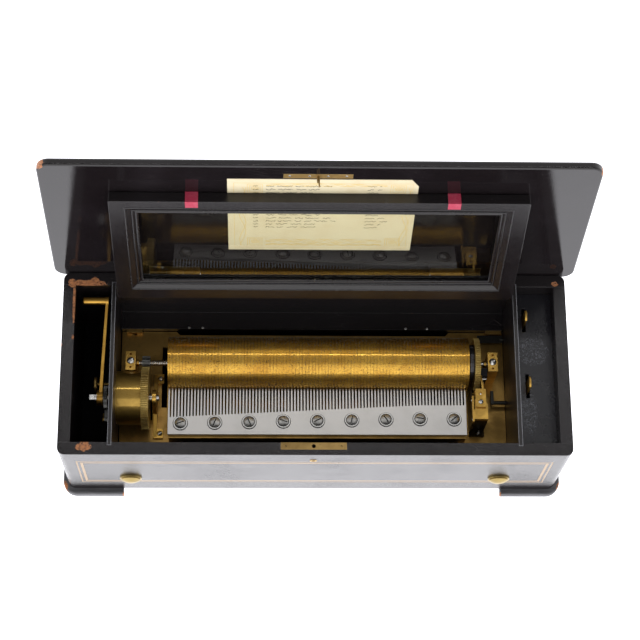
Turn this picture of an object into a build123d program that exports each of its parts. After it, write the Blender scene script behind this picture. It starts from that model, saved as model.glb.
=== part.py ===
from build123d import *
import os
from math import atan2, cos, degrees, pi, radians, sin, sqrt

# Cylinder music box: an ebonised case with an outer lid, a glazed inner lid, a winding
# compartment on the left, a control compartment on the right and the movement between them.
# X runs along the case, +Y to the back, +Z up.  All sizes are in millimetres.

# ---- case -------------------------------------------------------------------------------
CASE_LENGTH = 500.0
CASE_DEPTH = 187.0
BOARD_HEIGHT = 128.0
FOOT_HEIGHT = 10.0
RIM = FOOT_HEIGHT + BOARD_HEIGHT
DATUM = RIM - 122.0
SIDE_BOARD = 12.0
LONG_BOARD = 12.5
BOTTOM_BOARD = 12.0
CORNER_RADIUS = 7.0
PARTITION = 4.0
PARTITION_GROOVE = 3.0
LEFT_PARTITION_X = -200.0
RIGHT_PARTITION_X = 199.0
FOOT_PROUD = 6.0
FOOT_ARM = 14.0
FOOT_LENGTH = 62.0
FOOT_RETURN = 46.0
FOOT_CORNER = 14.0

# ---- lids -------------------------------------------------------------------------------
LID_LENGTH = 519.0
LID_THICKNESS = 8.5
LID_FRONT_OVERHANG = 7.0
LID_REAR_OVERHANG = 7.0
LID_CORNER = 12.0
LID_GAP = 0.3
LID_OPEN_ANGLE = 98.6
LID_HINGE_X = 140.0
GLASS_LID_LENGTH = 392.0
GLASS_LID_DEPTH = 156.0
GLASS_LID_THICKNESS = 11.0
GLASS_LID_MEMBER = 25.0
GLASS_LID_FRONT_MEMBER = 20.0
GLASS_LID_BEVEL = 10.0
GLASS_LID_BEVEL_RISE = 4.4
GLASS_REBATE = 3.0
GLASS_SEAT = 6.6
GLASS_LID_DROP = 2.0
GLASS_OPEN_ANGLE = 104.2
GLASS_HINGE_X = 120.0
GLASS_THICKNESS = 2.0
SHEET_LENGTH = 177.0
SHEET_WIDTH = 127.0
SHEET_X = 2.5
SHEET_FROM_HINGE = 47.0
SHEET_THICKNESS = 0.4
RIBBON_WIDTH = 12.0
RIBBON_THICKNESS = 0.6
RIBBON_X = (-119.0, 125.0)
LID_KNUCKLE, LID_LEAF, LID_PIN = 2.5, 50.0, 1.2
GLASS_KNUCKLE, GLASS_LEAF, GLASS_PIN = 1.8, 36.0, 0.8

# ---- lock and front fittings ---------------------------------------------------------------
LOCK_X = -2.4
LOCK_PLATE_LENGTH = 64.0
LOCK_PLATE_WIDTH = 7.0
LOCK_HALF, LOCK_THICKNESS, LOCK_HEIGHT = 24.0, 6.0, 26.0
BRASS_PLATE = 1.2
BOLT_SHANK, BOLT_HOLE = 2.5, 2.7
MOVEMENT_BOLT_X = (-184.0, 187.0)
MOVEMENT_BOLT_RISE = 1.0
STRINGING_INSET = 16.0
STRINGING_HEIGHT = 77.0
STRINGING_DROP = 64.0
STRINGING_DEPTH = 0.8

# ---- movement ------------------------------------------------------------------------------
AXIS_Z = DATUM + 66.0
CYLINDER_Y = 18.0
CYLINDER_RADIUS = 26.2
CYLINDER_LEFT = -147.0
CYLINDER_RIGHT = 155.6
ARBOR_RADIUS = 2.1
PIVOT_RADIUS = 3.0
RUNNING_GAP = 0.05
BED_TOP = DATUM + 36.0
BED_THICKNESS = 6.0
BED_FRONT = -66.0
BED_BACK = 62.0
EAR_HALF = 8.0
EAR_TOP = BED_TOP + 6.0
MODULE = 0.7
CYLINDER_PINION_TEETH = 18
BARREL_WHEEL_TEETH = 88
GREAT_WHEEL_TEETH = 74
BARREL_Y = CYLINDER_Y - MODULE * (CYLINDER_PINION_TEETH + BARREL_WHEEL_TEETH) / 2
BARREL_RADIUS = 26.8
BARREL_WALL = 1.8
DRUM_LEFT = -200.6
WHEEL_LEFT = -172.9
WHEEL_RIGHT = -165.5
SQUARE_HALF = 2.6

# ---- comb ----------------------------------------------------------------------------------
COMB_LEFT = -146.8
COMB_RIGHT = 154.7
COMB_TEETH = 93
COMB_FRONT = -56.7
COMB_TIPS = -9.0
COMB_THICKNESS = 4.0
TOOTH_THICKNESS = 2.4
TOOTH_SHARE = 0.56
ROOT_LEFT_Y = -39.0
ROOT_RIGHT_Y = -25.7
ROOT_FLAT_FROM = 108.0
COMB_SCREWS = 9

# ---- governor ------------------------------------------------------------------------------
FINE_MODULE = 0.5
GOVERNOR_PINION_TEETH = 12
FIRST_WHEEL_TEETH = 50
SECOND_PINION_TEETH = 10
WORM_WHEEL_TEETH = 24
WORM_STARTS = 3
WORM_X = 166.8
WORM_RADIUS = 1.9
WORM_GAP = 0.15
FIRST_ARBOR_Y = -11.6
SECOND_ARBOR_STEP = 14.5
GOVERNOR_TOP = DATUM + 80.0

# ---- levers --------------------------------------------------------------------------------
LEVER_TIP = (-208.0, 71.9, DATUM + 100.0)
LEVER_HUB_X = (-218.0, -212.0)
HANDLE_END = -232.5
HANDLE_RADIUS = 3.9
PANEL_TOP = DATUM + 101.0
PANEL_THICKNESS = 5.0
BLADE_TOP = DATUM + 118.0
START_X, START_Y, START_Z = 211.6, -16.4, DATUM + 45.0
CHANGE_X, CHANGE_Y, CHANGE_Z = 210.4, 53.0, DATUM + 42.0
SLOT_HALF = 12.4
LEVER_SHAFT = 2.0

# ---- worked out ----------------------------------------------------------------------------
HALF_L = CASE_LENGTH / 2
HALF_D = CASE_DEPTH / 2
INNER_X = HALF_L - SIDE_BOARD
INNER_Y = HALF_D - LONG_BOARD
FLOOR = FOOT_HEIGHT + BOTTOM_BOARD
LID_HINGE = (0, HALF_D + 0.8, RIM)
LEAF_INNER_Y = HALF_D - 11.0
LEAF_OUTER_Y = LID_HINGE[1] - LID_KNUCKLE - LID_GAP
GLASS_HINGE = (0, GLASS_LID_DEPTH / 2, RIM - GLASS_LID_DROP)
SIGHT_X = GLASS_LID_LENGTH / 2 - GLASS_LID_MEMBER
SIGHT_FRONT = GLASS_LID_FRONT_MEMBER - GLASS_LID_DEPTH / 2
SIGHT_BACK = GLASS_LID_DEPTH / 2 - GLASS_LID_MEMBER
LOCK_Y = -INNER_Y - LOCK_PLATE_WIDTH / 2
BED_BOTTOM = BED_TOP - BED_THICKNESS
BOLT_Z = BED_TOP + MOVEMENT_BOLT_RISE
COMB_PITCH = (COMB_RIGHT - COMB_LEFT) / COMB_TEETH
PLATE_RIGHT = COMB_RIGHT - (1 - TOOTH_SHARE) * COMB_PITCH
GREAT_RADIUS = MODULE * GREAT_WHEEL_TEETH / 2
FIRST_DISTANCE = MODULE * (GREAT_WHEEL_TEETH + GOVERNOR_PINION_TEETH) / 2
FIRST_ARBOR_Z = AXIS_Z - sqrt(FIRST_DISTANCE**2 - (CYLINDER_Y - FIRST_ARBOR_Y) ** 2)
SECOND_DISTANCE = FINE_MODULE * (FIRST_WHEEL_TEETH + SECOND_PINION_TEETH) / 2
SECOND_ARBOR_Y = FIRST_ARBOR_Y - SECOND_ARBOR_STEP
SECOND_ARBOR_Z = FIRST_ARBOR_Z - sqrt(SECOND_DISTANCE**2 - SECOND_ARBOR_STEP**2)
WORM_WHEEL_RADIUS = FINE_MODULE * (WORM_WHEEL_TEETH / 2 + 1)
WORM_Y = SECOND_ARBOR_Y + WORM_WHEEL_RADIUS + WORM_GAP + WORM_RADIUS
CLICK_PIVOT = (BARREL_Y - 19.0, AXIS_Z - 14.0)
CLICK_NOSE_ANGLE = 235.0
CLICK_NOSE_RADIUS = 12.9


# ---- helpers -------------------------------------------------------------------------------
def slab(x0, x1, y0, y1, z0, z1):
    """A box between two corners."""
    return Pos((x0 + x1) / 2, (y0 + y1) / 2, (z0 + z1) / 2) * Box(x1 - x0, y1 - y0, z1 - z0)


def rod_x(x0, x1, y, z, radius):
    """A round bar along X."""
    return Pos((x0 + x1) / 2, y, z) * Rot(0, 90, 0) * Cylinder(radius, x1 - x0)


def rod_y(x, y0, y1, z, radius):
    """A round bar along Y."""
    return Pos(x, (y0 + y1) / 2, z) * Rot(90, 0, 0) * Cylinder(radius, y1 - y0)


def rod_z(x, y, z0, z1, radius):
    """A round bar along Z."""
    return Pos(x, y, (z0 + z1) / 2) * Cylinder(radius, z1 - z0)


def group(pieces):
    """Separate pieces kept together as one node."""
    return Compound([s for p in pieces for s in p.solids()])


def extrude_x(outline, x0, x1, y, z):
    """An outline drawn in (y, z) about a centre, made solid from x0 to x1."""
    plane = Plane(origin=(x0, y, z), x_dir=(0, 1, 0), z_dir=(1, 0, 0))
    return extrude(plane * outline, amount=x1 - x0)


def toothed(teeth, module, phase, depth=(0.9, 1.15), share=(0.5, 0.3)):
    """A gear outline with straight flanks; phase (degrees) is the angle of one tooth's middle."""
    pitch_radius = module * teeth / 2
    tip, root = pitch_radius + depth[0] * module, pitch_radius - depth[1] * module
    pitch_angle = 2 * pi / teeth
    points = []
    for n in range(teeth):
        middle = radians(phase) + n * pitch_angle
        flanks = ((root, -share[0] / 2), (tip, -share[1] / 2), (tip, share[1] / 2), (root, share[0] / 2))
        for radius, half in flanks:
            angle = middle + half * pitch_angle
            points.append((radius * cos(angle), radius * sin(angle)))
    return make_face(Polyline(*points, close=True))


def in_mesh(teeth, direction):
    """The phase that puts a gap, not a tooth, at this direction (degrees)."""
    return direction + 180.0 / teeth


def slotted_head(x, y, z, radius, height, slot=1.0, turn=0.0):
    """A domed screw head with a slot, its underside at z."""
    ball = (radius**2 + height**2) / (2 * height)
    dome = Pos(x, y, z + height - ball) * Sphere(ball) & rod_z(x, y, z, z + height, radius)
    cut = Pos(x, y, z + height) * Rot(0, 0, turn) * Box(3 * radius, slot, height)
    return dome - cut


def open_lid(shape):
    """Swings a piece of the outer lid from closed to open."""
    return shape.rotate(Axis(LID_HINGE, (1, 0, 0)), -LID_OPEN_ANGLE)


def open_glass(shape):
    """Swings a piece of the glazed lid from closed to open."""
    return shape.rotate(Axis(GLASS_HINGE, (1, 0, 0)), -GLASS_OPEN_ANGLE)


# ---- the case ------------------------------------------------------------------------------
def long_board(side):
    """The front (-1) or back (+1) board, with the case's rounded corners."""
    outline = Rectangle(CASE_LENGTH, CASE_DEPTH)
    rounded = fillet(outline.vertices(), CORNER_RADIUS)
    board = Pos(0, 0, FOOT_HEIGHT) * extrude(rounded, amount=BOARD_HEIGHT)
    y0, y1 = sorted((side * INNER_Y, side * (HALF_D + 1)))
    board = board & slab(-HALF_L, HALF_L, y0, y1, FOOT_HEIGHT, RIM)
    for x in (LEFT_PARTITION_X, RIGHT_PARTITION_X):
        deep = side * (INNER_Y + PARTITION_GROOVE)
        y0, y1 = sorted((side * INNER_Y, deep))
        board -= slab(x - PARTITION / 2, x + PARTITION / 2, y0, y1, FLOOR, RIM)
    for x in MOVEMENT_BOLT_X:
        y0, y1 = sorted((side * INNER_Y, side * HALF_D))
        board -= rod_y(x, y0 - 1, y1 + 1, BOLT_Z, BOLT_HOLE)
    return board


def stringing(inset, width):
    """One rectangular line of inlay let into the front board."""
    length, height = CASE_LENGTH - 2 * inset, STRINGING_HEIGHT + 2 * (STRINGING_INSET - inset)
    outer, inner = Rectangle(length, height), Rectangle(length - 2 * width, height - 2 * width)
    plane = Plane(origin=(0, -HALF_D, RIM - STRINGING_DROP), x_dir=(1, 0, 0), z_dir=(0, -1, 0))
    return extrude(plane * (outer - inner), amount=-STRINGING_DEPTH)


def lock_parts():
    """The box lock: its rim plate, case, sliding bolt and keyhole ring."""
    half, thick, height = LOCK_HALF, LOCK_THICKNESS, LOCK_HEIGHT
    plate = slab(LOCK_X - LOCK_PLATE_LENGTH / 2, LOCK_X + LOCK_PLATE_LENGTH / 2,
                 LOCK_Y - LOCK_PLATE_WIDTH / 2, LOCK_Y + LOCK_PLATE_WIDTH / 2, RIM - BRASS_PLATE, RIM)
    plate -= rod_z(LOCK_X, LOCK_Y, RIM - 5, RIM + 5, 2.0)
    case_top = RIM - BRASS_PLATE
    y0, y1 = LOCK_Y - thick / 2, LOCK_Y + thick / 2
    case = slab(LOCK_X - half, LOCK_X + half, y0, y1, case_top - height, case_top)
    bolt_z0, bolt_z1 = case_top - 10.0, case_top - 5.6
    case -= slab(LOCK_X - 20.3, LOCK_X + 3, LOCK_Y - 1.2, LOCK_Y + 1.2, bolt_z0 - 0.3, bolt_z1 + 0.3)
    case -= rod_z(LOCK_X, LOCK_Y, case_top - 12, case_top + 1, 2.0)
    case -= rod_y(LOCK_X, y0 - 1, LOCK_Y, case_top - 19, 1.8)
    bolt = slab(LOCK_X - 20, LOCK_X - 4.8, LOCK_Y - 0.9, LOCK_Y + 0.9, bolt_z0, bolt_z1)
    key_z = case_top - 19
    ring = rod_y(LOCK_X, -HALF_D - 0.4, -HALF_D + 1.0, key_z, 3.4)
    ring -= rod_y(LOCK_X, -HALF_D - 1, -HALF_D + 2, key_z, 1.8)
    return dict(lock_plate=plate, lock_case=case, lock_bolt=bolt, keyhole_ring=ring), key_z


def foot(side_x, side_y):
    """One bracket foot: two arms that meet in a rounded corner under the case."""
    x_out, y_out = side_x * (HALF_L + FOOT_PROUD), side_y * (HALF_D + FOOT_PROUD)
    outline = Pos(x_out - side_x * FOOT_LENGTH / 2, y_out - side_y * FOOT_RETURN / 2) * Rectangle(
        FOOT_LENGTH, FOOT_RETURN)
    corner = min(outline.vertices(), key=lambda v: abs(v.X - x_out) + abs(v.Y - y_out))
    outline = fillet(corner, FOOT_CORNER)
    inner = Pos(x_out - side_x * (FOOT_ARM + FOOT_LENGTH / 2), y_out - side_y * (FOOT_ARM + FOOT_RETURN / 2))
    shape = extrude(outline - inner * Rectangle(FOOT_LENGTH, FOOT_RETURN), amount=FOOT_HEIGHT)
    top_rim = [e for e in shape.edges().group_by(Axis.Z)[-1]
               if abs(e.center().X) > HALF_L + FOOT_PROUD - 5 or abs(e.center().Y) > HALF_D + FOOT_PROUD - 5]
    return fillet(top_rim, 2.0)


def rear_rail():
    """The wooden rail along the foot of the back board, cut away round the bedplate's ears."""
    rail = slab(LEFT_PARTITION_X + PARTITION / 2, RIGHT_PARTITION_X - PARTITION / 2 - 0.2,
                BED_BACK + 0.4, INNER_Y + 1, FLOOR, EAR_TOP + 2)
    for x in MOVEMENT_BOLT_X:
        rail -= slab(x - EAR_HALF - 0.2, x + EAR_HALF + 0.2, BED_BACK - 1, INNER_Y, BED_BOTTOM - 0.2,
                     EAR_TOP + 0.2)
        rail -= rod_y(x, INNER_Y - 1, INNER_Y + 2, BOLT_Z, BOLT_HOLE)
    return rail


def build_case():
    parts, key_z = lock_parts()
    half, thick, height = LOCK_HALF, LOCK_THICKNESS, LOCK_HEIGHT
    front = long_board(-1)
    lines = [stringing(STRINGING_INSET, 1.3), stringing(STRINGING_INSET + 4.0, 2.4)]
    for line in lines:
        front -= line
    front -= slab(LOCK_X - LOCK_PLATE_LENGTH / 2, LOCK_X + LOCK_PLATE_LENGTH / 2,
                  LOCK_Y - LOCK_PLATE_WIDTH / 2, -INNER_Y, RIM - BRASS_PLATE, RIM)
    front -= slab(LOCK_X - half, LOCK_X + half, LOCK_Y - thick / 2, -INNER_Y, RIM - BRASS_PLATE - height, RIM)
    front -= rod_y(LOCK_X, -HALF_D - 1, LOCK_Y, key_z, 1.8)
    front -= rod_y(LOCK_X, -HALF_D - 1, -HALF_D + 1.0, key_z, 3.4)
    back = long_board(1)
    for x in (-LID_HINGE_X, LID_HINGE_X):
        back -= slab(x - LID_LEAF / 2, x + LID_LEAF / 2, LEAF_INNER_Y, HALF_D, RIM - BRASS_PLATE, RIM)
        back -= slab(x - LID_LEAF / 2 - LID_GAP, x + LID_LEAF / 2 + LID_GAP, LEAF_OUTER_Y, HALF_D + 1,
                     RIM - LID_KNUCKLE - LID_GAP, RIM)
    back += rear_rail()
    left = slab(-HALF_L, -INNER_X, -INNER_Y, INNER_Y, FOOT_HEIGHT, RIM)
    right = slab(INNER_X, HALF_L, -INNER_Y, INNER_Y, FOOT_HEIGHT, RIM)
    for y, z in ((START_Y, START_Z), (CHANGE_Y, CHANGE_Z)):
        right -= rod_x(INNER_X - 1, INNER_X + 6, y, z, LEVER_SHAFT + RUNNING_GAP)
    parts.update(
        front_board=front,
        back_board=back,
        left_board=left,
        right_board=right,
        bottom_board=slab(-INNER_X, INNER_X, -INNER_Y, INNER_Y, FOOT_HEIGHT, FLOOR),
        bracket_feet=group([foot(sx, sy) for sx in (-1, 1) for sy in (-1, 1)]),
        front_stringing=group(lines),
    )
    return parts


def build_partitions():
    reach = INNER_Y + PARTITION_GROOVE
    x0, x1 = LEFT_PARTITION_X - PARTITION / 2, LEFT_PARTITION_X + PARTITION / 2
    left = slab(x0, x1, -reach, reach, FLOOR, RIM)
    left -= slab(x0 - 1, x1 + 1, BARREL_Y - 21.5, BARREL_Y + 21.5, FLOOR, BED_TOP + 0.3)
    left -= rod_x(x0 - 1, x1 + 1, BARREL_Y, AXIS_Z, BARREL_RADIUS + 1.0)
    x0, x1 = RIGHT_PARTITION_X - PARTITION / 2, RIGHT_PARTITION_X + PARTITION / 2
    right = slab(x0, x1, -reach, reach, FLOOR, RIM)
    for y, z in ((START_Y, START_Z), (CHANGE_Y, CHANGE_Z)):
        right -= rod_x(x0 - 1, x1 + 1, y, z, LEVER_SHAFT + RUNNING_GAP)
    panel = slab(x1, INNER_X, -INNER_Y, INNER_Y, PANEL_TOP - PANEL_THICKNESS, PANEL_TOP)
    for x, y in ((START_X, START_Y), (CHANGE_X, CHANGE_Y)):
        panel -= slab(x - 2.2, x + 1.4, y - SLOT_HALF, y + SLOT_HALF, PANEL_TOP - 10, PANEL_TOP + 1)
    return dict(left_partition=left, right_partition=right, control_panel=panel)


def movement_bolt(x, side):
    """A bolt through the case wall into the bedplate, with its cup washer."""
    wall = side * HALF_D
    y0, y1 = sorted((side * (HALF_D - 25), wall + side * 1.6))
    bolt = rod_y(x, y0, y1, BOLT_Z, BOLT_SHANK)
    ball, height = 17.0, 4.2
    dome = Pos(x, wall + side * (1.6 + height - ball), BOLT_Z) * Sphere(ball)
    y0, y1 = sorted((wall + side * 1.6, wall + side * (1.6 + height)))
    bolt += dome & rod_y(x, y0, y1, BOLT_Z, 9.5)
    cup_y0, cup_y1 = sorted((wall, wall + side * 1.6))
    cup = rod_y(x, cup_y0, cup_y1, BOLT_Z, 11.0) - rod_y(x, cup_y0 - 1, cup_y1 + 1, BOLT_Z, BOLT_HOLE)
    return bolt, cup


def build_bolts():
    pairs = [movement_bolt(x, side) for x in MOVEMENT_BOLT_X for side in (-1, 1)]
    return dict(movement_bolts=group([b for b, _ in pairs]), bolt_cups=group([c for _, c in pairs]))


# ---- hinges --------------------------------------------------------------------------------
def knuckles(x, length, axis, radius, middle):
    """A hinge's middle knuckle, or the two at its ends."""
    third, gap = length / 3, 0.15
    spans = [(x - third / 2 + gap, x + third / 2 - gap)] if middle else [
        (x - length / 2, x - third / 2 - gap), (x + third / 2 + gap, x + length / 2)]
    return [(a, b, rod_x(a, b, axis[1], axis[2], radius)) for a, b in spans]


def leaf(x, length, axis, radius, pin, middle, plate, tab):
    """A hinge leaf: a plate, tabs from the plate to its own knuckles, and the knuckles."""
    shape = slab(x - length / 2, x + length / 2, *plate)
    for a, b, barrel in knuckles(x, length, axis, radius, middle):
        shape += slab(a, b, *tab)
        shape += barrel
    return shape - rod_x(x - length, x + length, axis[1], axis[2], pin + RUNNING_GAP)


def build_hinges():
    _, ly, lz = LID_HINGE
    _, gy, gz = GLASS_HINGE
    lid_under = RIM + LID_GAP
    case_leaves, lid_leaves, pins, wall_leaves, frame_leaves = [], [], [], [], []
    for x in (-LID_HINGE_X, LID_HINGE_X):
        args = (x, LID_LEAF, LID_HINGE, LID_KNUCKLE, LID_PIN)
        case_leaves.append(leaf(*args, False, (LEAF_INNER_Y, LEAF_OUTER_Y, RIM - BRASS_PLATE, RIM),
                                (LEAF_OUTER_Y, ly, RIM - BRASS_PLATE, RIM)))
        lid_leaves.append(open_lid(leaf(
            *args, True, (LEAF_INNER_Y, LEAF_OUTER_Y, lid_under, lid_under + BRASS_PLATE),
            (LEAF_OUTER_Y, ly, lid_under, lid_under + BRASS_PLATE))))
        pins.append(rod_x(x - LID_LEAF / 2, x + LID_LEAF / 2, ly, lz, LID_PIN))
    for x in (-GLASS_HINGE_X, GLASS_HINGE_X):
        args = (x, GLASS_LEAF, GLASS_HINGE, GLASS_KNUCKLE, GLASS_PIN)
        wall_leaves.append(leaf(
            *args, False, (INNER_Y - 1, INNER_Y, gz - 14, gz), (gy, INNER_Y, gz - 1.1, gz)))
        frame_leaves.append(open_glass(leaf(
            *args, True, (gy - 1, gy, gz - 10, gz - GLASS_KNUCKLE - LID_GAP), (gy - 1, gy, gz - 3, gz))))
        pins.append(rod_x(x - GLASS_LEAF / 2, x + GLASS_LEAF / 2, gy, gz, GLASS_PIN))
    return dict(
        lid_hinge_case_leaves=group(case_leaves),
        lid_hinge_lid_leaves=group(lid_leaves),
        glass_hinge_wall_leaves=group(wall_leaves),
        glass_hinge_frame_leaves=group(frame_leaves),
        hinge_pins=group(pins),
    )


# ---- the lids ------------------------------------------------------------------------------
def build_lid():
    under = RIM + LID_GAP
    y0, y1 = -HALF_D - LID_FRONT_OVERHANG, HALF_D + LID_REAR_OVERHANG
    outline = Pos(0, (y0 + y1) / 2, under) * Rectangle(LID_LENGTH, y1 - y0)
    panel = extrude(fillet(outline.vertices(), LID_CORNER), amount=LID_THICKNESS)
    panel = fillet(panel.edges().group_by(Axis.Z)[-1], 3.0)
    panel = fillet(panel.edges().group_by(Axis.Z)[0], 2.0)
    for x in (-LID_HINGE_X, LID_HINGE_X):
        panel -= slab(x - LID_LEAF / 2, x + LID_LEAF / 2, LEAF_INNER_Y, LEAF_OUTER_Y,
                      under, under + BRASS_PLATE)
        panel -= slab(x - LID_LEAF / 2 - LID_GAP, x + LID_LEAF / 2 + LID_GAP, LEAF_OUTER_Y, y1 + 1,
                      under - 1, RIM + LID_KNUCKLE + LID_GAP)
    x0, x1 = LOCK_X - LOCK_PLATE_LENGTH / 2, LOCK_X + LOCK_PLATE_LENGTH / 2
    strike_y0, strike_y1 = LOCK_Y - LOCK_PLATE_WIDTH / 2, LOCK_Y + LOCK_PLATE_WIDTH / 2
    strike = slab(x0, x1, strike_y0, strike_y1, under, under + BRASS_PLATE)
    panel -= strike
    strike += rod_z(LOCK_X, LOCK_Y, under - 11.2, under + 0.5, 1.4)
    case_top = RIM - BRASS_PLATE
    strike -= slab(LOCK_X - 3, LOCK_X + 0.1, LOCK_Y - 3, LOCK_Y + 3, case_top - 10.3, case_top - 5.2)
    sheet_y1 = LID_HINGE[1] - SHEET_FROM_HINGE
    sheet_y0 = sheet_y1 - SHEET_WIDTH
    sheet_x0, sheet_x1 = SHEET_X - SHEET_LENGTH / 2, SHEET_X + SHEET_LENGTH / 2
    corners = [(sheet_x0, sheet_y0), (sheet_x1 - 7, sheet_y0), (sheet_x1, sheet_y0 + 11),
               (sheet_x1, sheet_y1), (sheet_x0, sheet_y1)]
    paper = Pos(0, 0, under - SHEET_THICKNESS) * extrude(
        make_face(Polyline(*corners, close=True)), amount=SHEET_THICKNESS)
    return dict(lid_panel=open_lid(panel), strike_plate=open_lid(strike), tune_sheet=open_lid(paper))


def window(grow, z0, z1):
    """The glazed lid's sight opening, made larger all round, as a block."""
    return slab(-SIGHT_X - grow, SIGHT_X + grow, SIGHT_FRONT - grow, SIGHT_BACK + grow, z0, z1)


def bevelled_window(grow, z0, z1):
    """A block over the sight opening, larger at its lower end."""
    middle, depth = (SIGHT_FRONT + SIGHT_BACK) / 2, SIGHT_BACK - SIGHT_FRONT
    low = Pos(0, middle, z0) * Rectangle(2 * (SIGHT_X + grow), depth + 2 * grow)
    high = Pos(0, middle, z1) * Rectangle(2 * SIGHT_X, depth)
    return loft([low, high])


def build_glass_lid():
    top = GLASS_HINGE[2]
    under = top - GLASS_LID_THICKNESS
    length, depth = GLASS_LID_LENGTH, GLASS_LID_DEPTH
    glass_z = under + GLASS_SEAT
    frame = slab(-length / 2, length / 2, -depth / 2, depth / 2, under, top)
    frame = fillet(frame.edges().filter_by(Axis.Z), 1.5)
    frame -= bevelled_window(GLASS_LID_BEVEL, under, under + GLASS_LID_BEVEL_RISE)
    frame -= window(0, under + 4, top + 1)
    frame -= window(GLASS_REBATE, glass_z, top + 1)
    _, gy, gz = GLASS_HINGE
    knuckle = GLASS_KNUCKLE + LID_GAP
    for x in (-GLASS_HINGE_X, GLASS_HINGE_X):
        half = GLASS_LEAF / 2 + LID_GAP
        frame -= slab(x - half, x + half, gy - knuckle, gy + 1, gz - knuckle, gz + 1)
        frame -= slab(x - GLASS_LEAF / 2, x + GLASS_LEAF / 2, gy - 1, gy + 1, gz - 10, gz - 1)
    pane = window(GLASS_REBATE - 0.2, glass_z, glass_z + GLASS_THICKNESS)
    beads = window(GLASS_REBATE, glass_z + GLASS_THICKNESS, top) - window(0, under, top + 1)
    front = -depth / 2
    ribbons = []
    for x in RIBBON_X:
        x0, x1, t = x - RIBBON_WIDTH / 2, x + RIBBON_WIDTH / 2, RIBBON_THICKNESS
        strip = slab(x0, x1, front - t, front, under - t, top + t)
        strip += slab(x0, x1, front - t, front + 8, under - t, under)
        strip += slab(x0, x1, front - t, front + 10, top, top + t)
        ribbons.append(strip)
    return dict(glass_frame=open_glass(frame), glass_pane=open_glass(pane), glass_beads=open_glass(beads),
                ribbon_pulls=open_glass(group(ribbons)))


# ---- bedplate and comb ---------------------------------------------------------------------
def build_bed():
    left, right, step_l, step_r = -197.0, 196.7, -141.0, 141.0
    front, back, inner_front, inner_back = BED_FRONT, BED_BACK, -50.0, 58.4
    points = [(left, front), (step_l - 4, front), (step_l + 12, inner_front), (step_r - 8, inner_front),
              (step_r + 8, front), (right, front), (right, back), (step_r, back), (step_r - 3.6, inner_back),
              (step_l + 3.6, inner_back), (step_l, back), (left, back)]
    bed = Pos(0, 0, BED_BOTTOM) * extrude(make_face(Polyline(*points, close=True)), amount=BED_THICKNESS)
    bed += slab(-208.6, left + 1, BARREL_Y - 21, BARREL_Y + 21, BED_BOTTOM, BED_TOP)
    for x in MOVEMENT_BOLT_X:
        for y0, y1 in ((-INNER_Y, front + 6), (back - 3, INNER_Y)):
            bed += slab(x - EAR_HALF, x + EAR_HALF, y0, y1, BED_BOTTOM, EAR_TOP)
            bed -= rod_y(x, y0 - 1, y1 + 1, BOLT_Z, BOLT_SHANK + RUNNING_GAP)
    bed -= slab(-155, -149.3, -20, 45, BED_BOTTOM - 1, BED_TOP + 1)
    bed -= slab(-174, -164.2, BARREL_Y - 14, BARREL_Y + 14, BED_BOTTOM - 1, BED_TOP + 1)
    return dict(bedplate=bed)


def root_y(x):
    """Where the teeth leave the comb's solid part: long bass teeth on the left, shorter to the right."""
    run = min(1.0, (x - COMB_LEFT) / (ROOT_FLAT_FROM - COMB_LEFT))
    return ROOT_LEFT_Y + (ROOT_RIGHT_Y - ROOT_LEFT_Y) * run


def comb_screw_places():
    """Screw centres, evenly spread along the comb and midway across its solid part."""
    left, right = COMB_LEFT + 12.6, COMB_RIGHT - 14.0
    for n in range(COMB_SCREWS):
        x = left + (right - left) * n / (COMB_SCREWS - 1)
        yield x, (COMB_FRONT + root_y(x)) / 2 + 2.2 - 0.35 * n / 2


def build_comb():
    top = AXIS_Z
    solid = [(COMB_LEFT, COMB_FRONT), (PLATE_RIGHT, COMB_FRONT), (PLATE_RIGHT, ROOT_RIGHT_Y),
             (ROOT_FLAT_FROM, ROOT_RIGHT_Y), (COMB_LEFT, ROOT_LEFT_Y)]
    face = make_face(Polyline(*solid, close=True))
    plate = Pos(0, 0, top - COMB_THICKNESS) * extrude(face, amount=COMB_THICKNESS)
    outline = [(PLATE_RIGHT, COMB_FRONT + 10), (COMB_LEFT, COMB_FRONT + 10)]
    for n in range(COMB_TEETH):
        x0 = COMB_LEFT + n * COMB_PITCH
        x1 = x0 + TOOTH_SHARE * COMB_PITCH
        root, narrow = root_y(x1), 0.25
        outline += [(x0, root), (x0 + narrow, COMB_TIPS), (x1 - narrow, COMB_TIPS), (x1, root)]
    teeth = Pos(0, 0, top - TOOTH_THICKNESS) * extrude(
        make_face(Polyline(*outline, close=True)), amount=TOOTH_THICKNESS)
    comb = plate + teeth
    base = slab(COMB_LEFT + 1, PLATE_RIGHT - 1, COMB_FRONT - 2.8, -38.5, BED_TOP, top - COMB_THICKNESS)
    base -= slab(COMB_LEFT + 8, COMB_RIGHT - 9, COMB_FRONT - 5, -46, BED_TOP - 1, BED_TOP + 15)
    base = base - slab(COMB_LEFT - 9, COMB_RIGHT + 9, COMB_FRONT - 5, -50.2, BED_TOP - 1, BED_TOP)
    washers, screws = [], []
    for n, (x, y) in enumerate(comb_screw_places()):
        comb -= rod_z(x, y, top - 9, top + 1, 3.2)
        base -= rod_z(x, y, top - COMB_THICKNESS - 7, top, 3.05)
        washers.append(rod_z(x, y, top, top + 1.4, 7.0) - rod_z(x, y, top - 1, top + 2, 3.2))
        head = slotted_head(x, y, top + 1.4, 5.2, 2.4, slot=1.1, turn=20 + 47 * n)
        screws.append(head + rod_z(x, y, top - COMB_THICKNESS - 6.5, top + 1.5, 3.0))
    return dict(comb=comb, comb_base=base, comb_washers=group(washers), comb_screws=group(screws))


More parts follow.
